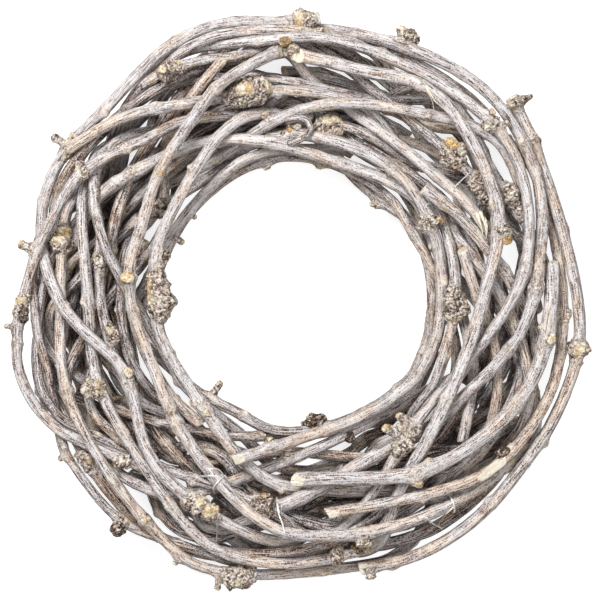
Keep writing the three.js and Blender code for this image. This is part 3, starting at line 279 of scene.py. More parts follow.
def painted_shade_inside(points):
    """How far inside the ring each point lies, which weighs the painted shade of its bark: 0 on its outside,
    1 near its core, where no sun bleaches.

    Formula: the distance from the core of the ring's section, in half widths across and half heights up,
    stepped smoothly from 0.60 down to 0.10 and raised to the power 1.5."""
    turn = np.arctan2(points[:, 1], points[:, 0]) % (2 * np.pi)
    spots = (np.arange(DIRECTIONS) + 0.5) * 2 * np.pi / DIRECTIONS
    near, far = (np.interp(turn, spots, ring_edges[:, edge], period=2 * np.pi) for edge in (0, 1))
    across = (2 * np.hypot(points[:, 0], points[:, 1]) - near - far) / (far - near)
    up = (2 * points[:, 2] - ring_levels.sum()) / (ring_levels[1] - ring_levels[0])
    share = np.clip((INSIDE_SHADE_FROM - np.hypot(across, up)) / INSIDE_SHADE_RISE, 0, 1)
    return (share * share * (3 - 2 * share)) ** INSIDE_SHADE_CURVE


SIDES = 6
AROUND = 24
ROW_STEP = 0.0019
SHADED_STEP = 0.0026
LINE_STEP = 0.001
LEAST_STEPS = 30
BEND_BLUR = 7.0
BEND_REACH = 20
SWOLLEN = 1.28
STANDS_OUT = 1.30
STANDS_OUT_OF_BURL = 1.45
STUB_WIDTHS = 1.7


def unit(rows):
    """Directions made one long."""
    return rows / np.linalg.norm(rows, axis=-1, keepdims=True)


def length_along(line):
    """The distance run along a line at each of its points."""
    return np.concatenate([[0], np.cumsum(np.linalg.norm(np.diff(line, axis=0), axis=1))])


def columns_at(spots, run, columns):
    """Columns of values that are known along `run`, read at the spots."""
    return np.stack([np.interp(spots, run, column) for column in columns.T], 1)


def cross_axes(line):
    """Level side, up and along directions at each point of a line."""
    along = unit(np.gradient(line, axis=0))
    side = unit(np.stack([along[:, 1], -along[:, 0], np.zeros(len(line))], 1))
    return side, np.cross(side, along), along


def spokes(side, up, count):
    """The angles of `count` spokes round a line, and their directions: side x cos t + up x sin t."""
    turn = 2 * np.pi * np.arange(count) / count
    return turn, side[..., None, :] * np.cos(turn)[:, None] + up[..., None, :] * np.sin(turn)[:, None]


def unrolled(radius, turn, along):
    """The place of each corner in the grain, as if the piece had grown straight along its own length."""
    return np.stack(np.broadcast_arrays(radius * np.cos(turn), radius * np.sin(turn), along), -1)


def cane_rings(node):
    """The solid cane's corners as rings of six, in order from one end to the other.

    Formula: the hub of an end is the corner whose six neighbours have five neighbours each. The rings
    are the corners 1, 2, 3 and more steps from it, each put in order of its angle round the cane."""
    corner, number = merged_corners(node)
    face = number[solid_faces(node)]
    linked = np.zeros((len(corner), len(corner)), bool)
    for first, second in ((0, 1), (1, 2), (2, 0)):
        linked[face[:, first], face[:, second]] = True
        linked[face[:, second], face[:, first]] = True
    near = linked.sum(1)
    all_five = np.where(linked, near[None, :] == SIDES - 1, True).all(1)
    hub = np.flatnonzero((near == SIDES) & all_five)[0]
    front = linked[hub].copy()
    reached = front | (np.arange(len(corner)) == hub)
    found = []
    while front.sum() == SIDES:
        found.append(np.flatnonzero(front))
        front = linked[front].any(0) & ~reached
        reached |= front
    rings = corner[np.array(found)]
    side, up, _ = cross_axes(rings.mean(1))
    reach = rings - rings.mean(1, keepdims=True)
    angle = np.arctan2((reach * up[:, None]).sum(2), (reach * side[:, None]).sum(2)) % (2 * np.pi)
    order = np.argsort(angle, axis=1)
    angle = np.take_along_axis(angle, order, 1)
    slots = 2 * np.pi * np.arange(SIDES) / SIDES
    turned = np.stack([np.roll(angle, -shift, 1) for shift in range(SIDES)], 1)
    miss = np.abs(np.exp(1j * turned) - np.exp(1j * slots)).sum(2)
    pick = (np.arange(SIDES)[None, :] + miss.argmin(1)[:, None]) % SIDES
    order = np.take_along_axis(order, pick, 1)
    return np.take_along_axis(rings, order[:, :, None], 1)


def read_cane(node):
    """A solid cane's line, radii, burls and stubs.

    Formula: a ring's centre is halfway across its narrowest pair of opposite corners, or on the line
    between its neighbours where a burl swells it. Two corners that stand out far, in each of two rings
    that follow one another, are the end of a stub."""
    rings = cane_rings(node)
    half = SIDES // 2
    pairs = (rings[:, :half] + rings[:, half:]) / 2
    widths = np.linalg.norm(rings[:, :half] - rings[:, half:], axis=2)
    centre = np.take_along_axis(pairs, widths.argmin(1)[:, None, None], 1)[:, 0]
    girth = np.median(np.linalg.norm(rings - centre[:, None], axis=2), axis=1)
    normal = np.median(girth)
    run = length_along(centre)
    swollen = girth > SWOLLEN * normal
    swollen[[0, -1]] = False
    centre = columns_at(run, run[~swollen], centre[~swollen])
    run = length_along(centre)
    radius = np.linalg.norm(rings - centre[:, None], axis=2)
    limit = np.where(swollen, STANDS_OUT_OF_BURL, STANDS_OUT)[:, None]
    stands_out = radius > limit * np.median(radius, axis=1, keepdims=True)
    tall = stands_out.sum(1) == 2
    stubs = []
    for ring in np.flatnonzero(tall[:-1] & tall[1:]):
        low_tip = rings[ring][stands_out[ring]].mean(0)
        high_tip = rings[ring + 1][stands_out[ring + 1]].mean(0)
        root = (centre[ring] + centre[ring + 1]) / 2
        thick = np.linalg.norm(high_tip - low_tip) / STUB_WIDTHS
        stubs.append((root, (low_tip + high_tip) / 2, thick, (run[ring] + run[ring + 1]) / 2))
    calm = np.where(stands_out, np.nan, radius)
    radius = np.where(stands_out, np.nanmean(calm, axis=1, keepdims=True), radius)
    edges = np.flatnonzero(np.diff(np.concatenate([[0], swollen.astype(int), [0]]))).reshape(-1, 2)
    burls = [(max(0, low - 1), min(len(run) - 1, high)) for low, high in edges if high - low > 1]
    return {"run": run, "centre": centre, "radius": radius, "normal": normal, "stubs": stubs, "burls": burls}


HILL_CELLS = 24
CRUMB_CELLS = 16
PIT_WIDTH = 0.22
FARTHER_THAN_ANY = 9.0


def soft_noise(point, size, seed):
    """Smooth random hills from 0 to 1, each about `size` metres across.

    Formula: random numbers on a cubic lattice, blended by 3t^2 - 2t^3 along x, y and z."""
    lattice = np.random.default_rng(seed).random((HILL_CELLS,) * 3)
    spot = point / size
    low = np.floor(spot).astype(int)
    part = spot - low
    part = part * part * (3 - 2 * part)
    value = np.zeros(point.shape[:-1])
    for corner in np.ndindex(2, 2, 2):
        share = np.where(np.array(corner) == 1, part, 1 - part).prod(-1)
        x, y, z = np.moveaxis((low + np.array(corner)) % HILL_CELLS, -1, 0)
        value += share * lattice[x, y, z]
    return value


def crumbs_at(point, size, seed):
    """Crumbs of about `size` metres packed together: each point's height, brightness and nearness to a pit,
    which sets the painted shade there.

    Formula: one random seed in each cell of a cubic lattice. With F and G the distances to the nearest
    and next nearest seed, the height is the square root of G - F, and the pit is 1 where G = F."""
    rng = np.random.default_rng(seed)
    jitter = rng.random((CRUMB_CELLS,) * 3 + (3,))
    shade = rng.random((CRUMB_CELLS,) * 3)
    spot = point / size
    low = np.floor(spot).astype(int)
    first = np.full(point.shape[:-1], FARTHER_THAN_ANY)
    second = first.copy()
    bright = np.zeros(point.shape[:-1])
    for corner in np.ndindex(3, 3, 3):
        cell = low + np.array(corner) - 1
        x, y, z = np.moveaxis(cell % CRUMB_CELLS, -1, 0)
        away = np.linalg.norm(cell + jitter[x, y, z] - spot, axis=-1)
        nearer = away < first
        second = np.where(nearer, first, np.minimum(second, away))
        bright = np.where(nearer, shade[x, y, z], bright)
        first = np.where(nearer, away, first)
    gap = np.clip(second - first, 0, 1)
    return np.sqrt(gap), bright, np.clip(1 - gap / PIT_WIDTH, 0, 1)


def round_values(values, count):
    """Six values round a ring carried to `count` values by the lowest wave that passes through them."""
    turn = 2 * np.pi * (np.arange(count)[None, :] / count - np.arange(SIDES)[:, None] / SIDES)
    return values @ ((1 + 2 * np.cos(turn) + 2 * np.cos(2 * turn) + np.cos(3 * turn)) / SIDES)


def eased(values, blur, reach):
    """Columns of values blurred from row to row.

    Formula: a bell curve that is `blur` rows wide and cut off at `reach` rows. The values are mirrored
    through each end, so that the ends stay where they are."""
    bell = np.exp(-0.5 * (np.arange(-reach, reach + 1) / blur) ** 2)
    bell /= bell.sum()
    before, after = 2 * values[0] - values[reach:0:-1], 2 * values[-1] - values[-2:-2 - reach:-1]
    padded = np.concatenate([before, values, after])
    return np.stack([np.convolve(column, bell, "valid") for column in padded.T], 1)


def eased_line(cane):
    """The cane's centre line in steps of 1 mm, with its corners eased."""
    length = cane["run"][-1]
    fine = np.linspace(0, length, max(LEAST_STEPS, int(length / LINE_STEP)))
    return fine, eased(columns_at(fine, cane["run"], cane["centre"]), BEND_BLUR, BEND_REACH)


def outward(corners, faces):
    """The triangles of a closed shape, turned round if they point inwards.

    Formula: six times the shape's volume is the sum of one . (two x three) over its triangles."""
    one, two, three = (corners[faces[:, number]] for number in range(3))
    return faces[:, ::-1] if np.einsum("ij,ij->i", one, np.cross(two, three)).sum() < 0 else faces


def wall_faces(row, next_row, around):
    """Two triangles for each cell between rows of corners and the rows next to them."""
    ring = np.arange(around)
    beside = (ring + 1) % around
    here, there = row[:, None] * around, next_row[:, None] * around
    cell = (here + ring, there + ring, there + beside, here + ring, there + beside, here + beside)
    return np.stack(cell, -1).reshape(-1, 3)


def drawn_in(ring, shares):
    """Copies of a ring of corners, each drawn in to its share of the ring's size."""
    middle = ring.mean(0)
    return np.stack([middle + share * (ring - middle) for share in shares])


def closed_tube(points, poles, grain, grain_poles, coats):
    """A closed tube from its grid of rows and the two poles that close it.

    The six coats are tone, warmth, cut, gnarl, brightness and the painted shade of pits, each one number or
    a grid of them, and a pole takes those of a corner beside it."""
    rows, around = points.shape[:2]
    walls = wall_faces(np.arange(rows - 1), np.arange(1, rows), around)
    ring = np.arange(around)
    beside = (ring + 1) % around
    last = (rows - 1) * around
    start = np.stack([np.full(around, rows * around), ring, beside], 1)
    finish = np.stack([np.full(around, rows * around + 1), last + beside, last + ring], 1)
    corners = np.concatenate([points.reshape(-1, 3), poles])
    grid = np.stack([np.broadcast_to(coat, (rows, around)) for coat in coats], -1)
    grid = np.concatenate([grid.reshape(-1, 6), grid[0, :1], grid[-1, :1]])
    return {"corners": corners, "faces": outward(corners, np.concatenate([walls, start, finish])),
            "grain": np.concatenate([grain.reshape(-1, 3), grain_poles]),
            "finish": grid[:, :3], "crust": grid[:, 3:]}


VIEW_PIXELS = 600
VIEW_SCALE = VIEW_WIDTH / VIEW_PIXELS
PARED_OUT = np.array([0.20, -0.30, 0.93])
PARED_RIM = 1.05
PARED_CURVE = 1.4
PARED_GRAIN = 0.0016
PARED_ROUGH = 0.22
PARED_SEED = 77


def from_view(x, y):
    """Where a pixel of the reference view lies on the wreath's face."""
    right, up = x - VIEW_PIXELS / 2, VIEW_PIXELS / 2 - y
    return np.array([camera.location.x + right * VIEW_SCALE, camera.location.y + up * VIEW_SCALE])


def nearest_row(line, spot):
    """The row of a line that lies nearest to a pixel of the reference view."""
    return np.linalg.norm(line[:, :2] - from_view(*spot), axis=1).argmin()


def pare(points, line, along, spots, normal, paring):
    """Shaves a cane to bare wood where a knife or a break took the bark off.

    Formula: whatever stands out past a bowl is pushed back on to it. The bowl lies 1.05 radii out at its
    rim, and (1 - (distance / half)^1.4) x `depth` radii deeper between, with a little soft noise.
    Returns the corners and which of them were shaved."""
    spot, half, depth = paring
    row = nearest_row(line, spot)
    away = (spots - spots[row]) / half
    out = PARED_OUT - along[row] * (PARED_OUT @ along[row])
    out /= np.linalg.norm(out)
    reach = (points - line[:, None]) @ out
    keep = normal * (PARED_RIM - depth * (1 - np.minimum(np.abs(away), 1) ** PARED_CURVE))[:, None]
    keep = keep + normal * PARED_ROUGH * (soft_noise(points, PARED_GRAIN, PARED_SEED) - 0.5)
    shaved = (np.abs(away) < 1)[:, None] & (reach > keep)
    return points - np.where(shaved, reach - keep, 0)[:, :, None] * out, shaved


JOINTS = 14
JOINT_GAP = (0.048, 0.088)
FIRST_JOINT_BACK = (0.01, 0.05)
JOINT_TO_END = 0.004
JOINT_HALF = 0.0038
BUD_HALF = 0.0026
BUD_TURN = 0.55
CLOSE_ROWS_HALF = 0.006
LEAST_ROWS = 12
RIDGES = ((3, 0.034), (5, 0.030), (8, 0.024))
HILL_SIZE = 0.0036
SLOW_SIZE = 0.024
CRUMB_SIZE = 0.0019
STUB_FOOT = 0.0022
END_SLANT = 0.45
END_FADE = 0.004
CAP_SHARES = (0.86, 0.5, 0.2)
CAP_GRAIN = 0.0013
CAP_LIFT = 0.0012


def cane_part(cane, tone, warmth, seed, parings, row_step):
    """The long skin of a cane.

    Formula: centre + radius x (side x cos t + up x sin t), where the radius is the solid's, times slow
    ridges cos 3t, cos 5t and cos 8t that drift along the cane, a ring and a bud at each joint, 5 to 9 cm
    apart and on alternate sides, and hills of noise. The rows lie closer at joints and knots."""
    rng = np.random.default_rng(seed)
    fine, line = eased_line(cane)
    length = fine[-1]
    joints = np.cumsum(rng.uniform(*JOINT_GAP, JOINTS)) - rng.uniform(*FIRST_JOINT_BACK)
    joints = joints[(joints > JOINT_TO_END) & (joints < length - JOINT_TO_END)]
    swell = np.interp(fine, cane["run"], cane["radius"].mean(1)) / cane["normal"] - 1
    busy = np.clip(5 * np.clip(swell, 0, 0.2), 0, 1)
    if len(joints):
        busy = np.maximum(busy, np.exp(-(((fine[:, None] - joints) / CLOSE_ROWS_HALF) ** 2)).max(1))
    for spot, half, _ in parings:
        busy = np.maximum(busy, 1.6 * (np.abs(fine - fine[nearest_row(line, spot)]) < half))
    pace = np.concatenate([[0], np.cumsum(1 + 1.1 * busy[1:])]) * (fine[1] - fine[0])
    spots = np.interp(np.linspace(0, pace[-1], max(LEAST_ROWS, int(pace[-1] / row_step))), pace, fine)
    line = columns_at(spots, fine, line)
    side, up, along = cross_axes(line)
    radius = columns_at(spots, cane["run"], cane["radius"])
    for low, high in cane["burls"]:
        inside = (spots > cane["run"][low]) & (spots < cane["run"][high])
        radius[inside] = np.minimum(radius[inside], cane["normal"] * 1.06)
    swell = np.clip(radius.mean(1) / cane["normal"] - 1, 0, 0.6)
    radius = round_values(radius, AROUND)
    turn, out = spokes(side, up, AROUND)
    drift = np.cumsum(rng.normal(0, 0.035, (3, len(spots))), axis=1) + rng.uniform(0, 6, (3, 1))
    ridges = sum(high * np.cos(waves * turn + own[:, None]) for (waves, high), own in zip(RIDGES, drift))
    grain = unrolled(radius, turn, spots[:, None]) + rng.uniform(0, 3, 3)
    joint_ring = np.zeros(len(spots))
    bud, scar, flare = np.zeros((3, *radius.shape))
    facing = rng.uniform(0, 2 * np.pi)
    for number, joint in enumerate(joints):
        away = spots - joint
        joint_ring += np.exp(-((away / JOINT_HALF) ** 2)) * rng.uniform(0.6, 1.4)
        bend = np.angle(np.exp(1j * (turn - facing - number * np.pi)))
        spread = (away[:, None] / BUD_HALF) ** 2 + (bend[None, :] / BUD_TURN) ** 2
        size = rng.uniform(0.15, 0.50)
        bud += size * np.exp(-spread)
        scar += np.exp(-spread * 2.2) * (size > 0.3) * rng.uniform(0.2, 1.0)
    hills = soft_noise(grain, HILL_SIZE, seed + 1) - 0.5
    slow = soft_noise(grain * np.array([0.4, 0.4, 1.0]), SLOW_SIZE, seed + 7) - 0.5
    lumps, shade, pit_shade = crumbs_at(grain * np.array([1, 1, 0.55]), CRUMB_SIZE, seed + 2)
    for root, tip, thick, run in cane["stubs"]:
        row = np.abs(spots - run).argmin()
        lean = np.arctan2((tip - root) @ up[row], (tip - root) @ side[row])
        bend = np.angle(np.exp(1j * (turn - lean)))
        foot = ((spots[:, None] - run) / (thick + STUB_FOOT)) ** 2
        flare += 0.5 * np.exp(-foot - (bend[None, :] / 0.85) ** 2)
    rough = np.clip(1.4 * swell[:, None] + 0.38 * joint_ring[:, None] + 0.9 * flare, 0, 1)
    radius = radius * (1 + 0.11 * joint_ring[:, None] + bud + 0.12 * slow + flare)
    radius = radius * (1 + ridges + hills * (0.10 + 0.26 * rough) + (lumps - 0.5) * (0.03 + 0.26 * rough))
    points = line[:, None] + out * radius[:, :, None]
    slants = rng.uniform(-END_SLANT, END_SLANT, (2, 2))
    for away, (lean_x, lean_y) in zip((spots, length - spots), slants):
        fade = np.exp(-((away / END_FADE) ** 2))[:, None]
        lean = fade * radius * (lean_x * np.cos(turn) + lean_y * np.sin(turn))
        points = points + lean[:, :, None] * along[:, None]
    cut = np.clip(scar, 0, 0.85)
    cut[[0, -1]] = 0.6
    for paring in parings:
        points, shaved = pare(points, line, along, spots, cane["normal"], paring)
        cut = np.where(shaved, 1.0, cut)
        rough = np.where(shaved, 0.0, rough)
        shade = np.where(shaved, 0.75 + 0.25 * shade, shade)
    caps = []
    for end in (0, -1):
        cap = drawn_in(points[end], CAP_SHARES)
        lift = (soft_noise(cap, CAP_GRAIN, seed + 3) - 0.5) * CAP_LIFT
        caps.append(cap + along[end] * lift[:, :, None])
    points = np.concatenate([caps[0][::-1], points, caps[1]])
    both_ends = (len(CAP_SHARES), len(CAP_SHARES)), (0, 0)
    grain = np.pad(grain, (*both_ends, (0, 0)), "edge")
    cut = np.pad(cut, both_ends, constant_values=(rng.uniform(0.55, 1.0, 2), (0, 0)))
    gnarl = np.pad(np.clip(0.85 * rough + 0.5 * bud, 0, 0.75), both_ends)
    shade = np.pad(shade, both_ends, constant_values=0.6)
    # Painted shade in the pits between crumbs, stronger where the bark is rough.
    pit_shade = np.pad(pit_shade * (0.3 + 0.7 * rough), both_ends)
    poles, grain_poles = ([grid[0].mean(0), grid[-1].mean(0)] for grid in (points, grain))
    return closed_tube(points, poles, grain, grain_poles, (tone, warmth, cut, gnarl, shade, pit_shade))


BURL_GRAIN = 0.00085
BURL_ROW_STEP = 0.0007
BURL_ROWS = 16
BURL_OVERLAP = 0.001
BURL_HILL, BURL_HILL_LIFT = 0.0075, 0.0070
BURL_CRUMB, BURL_CRUMB_LIFT = 0.0040, 0.0023
BURL_GRIT, BURL_GRIT_LIFT = 0.0015, 0.0014
BURL_STRAW = 0.0060
WARP_SIZE = 0.0028
CRUMB_SHIFT = 0.0034
GRIT_SHIFT = 0.0016


def crust_at(base, seed, hill_size, crumb_size, grit_size):
    """The crust of a burl or a knob: hills, crumbs and grit, how bright the crumbs and both are, and the
    painted shade of its pits and hollows.

    Formula: crumbs of two sizes whose places are shifted by soft noise, and hills of soft noise."""
    warp = np.stack([soft_noise(base, WARP_SIZE, seed + shift) for shift in (15, 16, 17)], -1) - 0.5
    crumb, crumb_shade, crumb_pit_shade = crumbs_at(base + CRUMB_SHIFT * warp, crumb_size, seed + 5)
    grit, grit_shade, grit_pit_shade = crumbs_at(base + GRIT_SHIFT * warp, grit_size, seed + 6)
    hills = soft_noise(base, hill_size, seed + 7) - 0.5
    # Painted shade in the pits between crumbs and in the low hollows of the hills.
    pit_shade = np.maximum(0.75 * crumb_pit_shade, 0.55 * grit_pit_shade) + np.clip(-0.6 * hills, 0, 0.3)
    return hills, crumb, grit, crumb_shade, 0.5 * crumb_shade + 0.5 * grit_shade, pit_shade


def burl_part(cane, low, high, tone, warmth, seed):
    """The crusty swelling where many buds grew together.

    Formula: the solid's radii, drawn in by a seventh, and at the two ends by nearly a third, plus hills
    of 7.5 mm, crumbs of 4 mm and crumbs of 1.5 mm whose places are shifted by soft noise. The two ends
    lie inside the cane."""
    rng = np.random.default_rng(seed)
    fine, line = eased_line(cane)
    start = max(cane["run"][low] - BURL_OVERLAP, 0)
    stop = min(cane["run"][high] + BURL_OVERLAP, fine[-1])
    widest = cane["radius"][low:high + 1].max()
    around = int(2 * np.pi * widest / BURL_GRAIN)
    spots = np.linspace(start, stop, max(BURL_ROWS, int((stop - start) / BURL_ROW_STEP)))
    line = columns_at(spots, fine, line)
    side, up, _ = cross_axes(line)
    part = np.linspace(-1, 1, len(spots))[:, None]
    radius = round_values(columns_at(spots, cane["run"], cane["radius"]), around)
    radius = radius * (0.86 - 0.16 * np.abs(part) ** 6)
    _, out = spokes(side, up, around)
    base = line[:, None] + out * radius[:, :, None]
    hills, crumb, grit, crumb_shade, shade, pit_shade = crust_at(base, seed, BURL_HILL, BURL_CRUMB, BURL_GRIT)
    lift = BURL_HILL_LIFT * hills + BURL_CRUMB_LIFT * (crumb - 0.40) * (0.3 + 1.4 * crumb_shade)
    lift = lift + BURL_GRIT_LIFT * (grit - 0.4)
    fade = np.clip(1.3 - np.abs(part), 0, 0.4) / 0.4
    points = base + out * (lift * fade)[:, :, None]
    gnarl = np.clip(2.9 - 2.7 * np.abs(part), 0, 0.95)
    straw = np.clip((soft_noise(base, BURL_STRAW, seed + 8) - 0.62) * 5, 0, 0.75) * gnarl
    shift = rng.uniform(0, 3, 3)
    coats = (tone, warmth, straw, gnarl, shade, pit_shade)
    return closed_tube(points, line[[0, -1]], base + shift, line[[0, -1]] + shift, coats)


STUB_ROUND = 26
STUB_ROWS = 18
STUB_CRUMB = 0.0021
STUB_SWERVE = 0.0042
STUB_CAP_SHARES = (0.80, 0.5, 0.22)
STUB_CAP_GRAIN = [[0.8], [0.5], [0.2]]
STUB_RAGGED = np.array([0.3, 0.6, 1.0])[:, None]
ASKEW = (0.31, 0.17, 0.93)


def square_to(axis):
    """Two directions square to an axis and to each other."""
    side = np.cross(axis, ASKEW)
    side /= np.linalg.norm(side)
    return side, np.cross(axis, side)


def stub_part(root, tip, thick, tone, warmth, seed):
    """What is left of a side shoot that was pruned or snapped off.

    Formula: a round section along the line from the cane's middle to the tip, wide at the foot, waisted
    and wider again at the cut, plus crumbs of 2 mm that grow towards a ragged end."""
    rng = np.random.default_rng(seed)
    axis = tip - root
    reach = np.linalg.norm(axis)
    axis /= reach
    turn, out = spokes(*square_to(axis), STUB_ROUND)
    part = np.linspace(0.12, 1, STUB_ROWS)[:, None]
    bulge = rng.uniform(0.05, 0.40)
    profile = 0.88 + 0.85 * np.exp(-((part / 0.45) ** 2)) + bulge * np.exp(-(((part - 0.82) / 0.25) ** 2))
    profile = thick * profile * (1 - 0.42 * np.clip((part - 0.86) / 0.14, 0, 1) ** 2)
    radius = profile * (1 + 0.12 * np.cos(2 * turn + rng.uniform(0, 6)) + 0.08 * np.cos(3 * turn))
    points = root + axis * (part * reach)[:, :, None] + out * radius[:, :, None]
    height, shade, pit_shade = crumbs_at(points, STUB_CRUMB, seed + 3)
    swerve = soft_noise(points, STUB_SWERVE, seed + 5) - 0.5
    lift = (height - 0.45) * (0.30 + 0.25 * part) * thick + swerve * thick * 0.8
    points = points + out * lift[:, :, None]
    points[-3:] += axis * (swerve[-3:] * STUB_RAGGED * thick)[:, :, None]
    face = points[-1].mean(0)
    cap = drawn_in(points[-1], STUB_CAP_SHARES)
    cap_height, cap_shade, _ = crumbs_at(cap, CAP_GRAIN, seed + 4)
    cap += axis * (cap_height - 0.5)[:, :, None] * thick * 0.55
    bare = 0.95 if rng.random() < 0.75 else 0.15
    at_cap = (0, len(cap)), (0, 0)
    cut = np.pad(bare * np.clip((part - 0.84) / 0.12, 0, 1), at_cap, constant_values=bare)
    gnarl = np.pad(0.45 + 0.50 * part, at_cap, constant_values=0.7)
    along = np.pad(part, at_cap, "edge") * reach
    shrink = np.concatenate([np.ones((STUB_ROWS, 1)), STUB_CAP_GRAIN]) * thick
    grain = unrolled(shrink, turn, along) + np.array([0, 0, rng.uniform(0, 2)])
    shade = np.concatenate([shade, cap_shade])
    pit_shade = np.pad(pit_shade, at_cap)
    points = np.concatenate([points, cap])
    coats = (tone, warmth, cut, gnarl, shade, pit_shade)
    return closed_tube(points, [root, face], grain, grain.reshape(-1, 3)[[0, -1]], coats)


KNOB_ROUND = 34
KNOB_ROWS = 30
KNOB_HILL = 0.0050
KNOB_CRUMB = 0.0036
KNOB_GRIT = 0.0014
NO_DISTANCE = 1e-6


def knob_part(cane, spot, size, straw, dull, tone, warmth, seed):
    """A knob that swelled out of a cane's side, where buds died back year after year.

    Formula: a ball of radius `size` on a neck that starts in the middle of the cane and aims at the
    pixel `spot` of the reference view, moved by hills and crumbs as a burl is."""
    rng = np.random.default_rng(seed)
    _, line = eased_line(cane)
    root = line[nearest_row(line, spot)]
    aside = from_view(*spot) - root[:2]
    reach = max(np.linalg.norm(aside), NO_DISTANCE)
    far = min(reach, cane["normal"] + 0.7 * size)
    lift = max(cane["normal"] - reach, 0.0) + 0.35 * size
    middle = root + np.append(aside / reach * far, lift)
    axis = middle - root
    neck = np.linalg.norm(axis)
    axis /= neck
    turn, out = spokes(*square_to(axis), KNOB_ROUND)
    along = np.linspace(0, neck + 0.985 * size, KNOB_ROWS)[:, None]
    ball = size * np.sqrt(np.clip(1 - ((along - neck) / size) ** 2, 0.02, 1))
    profile = np.maximum(ball, np.where(along < neck, 0.62 * size, 0))
    profile = profile * (1 + 0.16 * np.cos(2 * turn + rng.uniform(0, 6)))
    base = root + axis * along[:, :, None] + out * profile[:, :, None]
    hills, crumb, grit, _, shade, pit_shade = crust_at(base, seed, KNOB_HILL, KNOB_CRUMB, KNOB_GRIT)
    grown = size * (hills + 0.42 * (crumb - 0.4) + 0.24 * (grit - 0.4))
    grown = grown * np.clip(2 * along / neck - 0.6, 0, 1)
    points = base + unit(base - middle) * grown[:, :, None]
    bare = straw * np.clip((soft_noise(base, KNOB_HILL, seed + 8) - 0.25) * 4, 0, 1)
    shift = rng.uniform(0, 3, 3)
    coats = (tone, warmth, bare, 0.95, shade - dull, pit_shade)
    poles = [root, points[-1].mean(0)]
    return closed_tube(points, poles, base + shift, [root + shift, middle + shift], coats)


STRIP_ROWS = 14
STRIP_LENGTH = (0.009, 0.024)
STRIP_TO_END = 0.01
STRIP_LIFT = (0.0006, 0.0022)
STRIP_HALF = (0.0003, 0.0007)
STRIP_THICK = 0.00026
STRIP_GRAIN = 0.3


def strip_part(cane, tone, warmth, seed):
    """A strip of bark that peels off a cane and lifts at one end.

    Formula: a flat section, about 1 mm by a quarter, carried along the cane's skin, turned slowly round
    it and raised by the square of the distance from where it still holds."""
    rng = np.random.default_rng(seed)
    fine, line = eased_line(cane)
    length = rng.uniform(*STRIP_LENGTH)
    start = rng.uniform(STRIP_TO_END, max(STRIP_TO_END + 0.002, fine[-1] - length - STRIP_TO_END))
    part = np.linspace(0, 1, STRIP_ROWS)
    spots = start + part * min(length, fine[-1] - start)
    if rng.random() < 0.5:
        spots = spots[::-1]
    side, up, along = cross_axes(line)
    line, side, up, along = (columns_at(spots, fine, field) for field in (line, side, up, along))
    turn = rng.uniform(0.1, np.pi - 0.1) + part * rng.uniform(-0.5, 0.5)
    out = side * np.cos(turn)[:, None] + up * np.sin(turn)[:, None]
    away = side * -np.sin(turn)[:, None] + up * np.cos(turn)[:, None]
    middle = line + out * (cane["normal"] * 0.98 + part**2 * rng.uniform(*STRIP_LIFT))[:, None]
    across = away * (rng.uniform(*STRIP_HALF) * (1 - 0.75 * part**2))[:, None]
    through = out * (STRIP_THICK / 2)
    points = np.stack([middle + across, middle + through, middle - across, middle - through], 1)
    shift = rng.uniform(0, 3, 3)
    poles = middle[[0, -1]]
    coats = (tone + 0.12, warmth, 0.35 * part[:, None], 0.0, 0.5, 0.0)
    return closed_tube(points, poles, points * STRIP_GRAIN + shift, poles * STRIP_GRAIN + shift, coats)


NO_AREA = 1e-12


def piece_from_parts(name, parts, material):
    """One mesh object from parts, each with corners, faces and its three attributes.

    Its tone and its crust's brightness fall by a painted shade: deeper inside the ring, where the sun also
    bleaches less, and on flanks that face away from the light above."""
    corners = np.concatenate([part["corners"] for part in parts])
    starts = np.cumsum([0] + [len(part["corners"]) for part in parts])
    faces = np.concatenate([part["faces"] + start for part, start in zip(parts, starts)])
    corners[:, 2] = np.maximum(corners[:, 2], 0.0)
    mesh = bpy.data.meshes.new(name)
    mesh.vertices.add(len(corners))
    mesh.vertices.foreach_set("co", corners.astype(np.float32).ravel())
    mesh.loops.add(faces.size)
    mesh.loops.foreach_set("vertex_index", faces.astype(np.int32).ravel())
    mesh.polygons.add(len(faces))
    mesh.polygons.foreach_set("loop_start", np.arange(0, faces.size, 3, dtype=np.int32))
    mesh.polygons.foreach_set("use_smooth", np.ones(len(faces), bool))
    coats = {key: np.concatenate([part[key] for part in parts]).astype(np.float32)
             for key in ("grain", "finish", "crust")}
    one, two, three = (corners[faces[:, number]] for number in range(3))
    lean = np.cross(two - one, three - one)
    facing = np.stack([np.bincount(faces.ravel(), np.repeat(column, 3), len(corners))
                       for column in lean.T], 1)
    upward = np.clip(facing[:, 2] / np.maximum(np.linalg.norm(facing, axis=1), NO_AREA), 0, 1)
    # Painted shade: tone and crust brightness fall inside the ring and on flanks that face sideways or down.
    shade = SHADE_DROP * painted_shade_inside(corners) + FLANK_PAINTED_SHADE * (1 - upward)
    coats["finish"][:, 0] -= shade
    coats["crust"][:, 1] -= shade
    for key, values in coats.items():
        layer = mesh.attributes.new(key, "FLOAT_VECTOR", "POINT")
        layer.data.foreach_set("vector", values.ravel())
    mesh.update(calc_edges=True)
    mesh.materials.append(material)
    piece = bpy.data.objects.new(name, mesh)
    bpy.context.scene.collection.objects.link(piece)
    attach(piece, "root")
    return piece


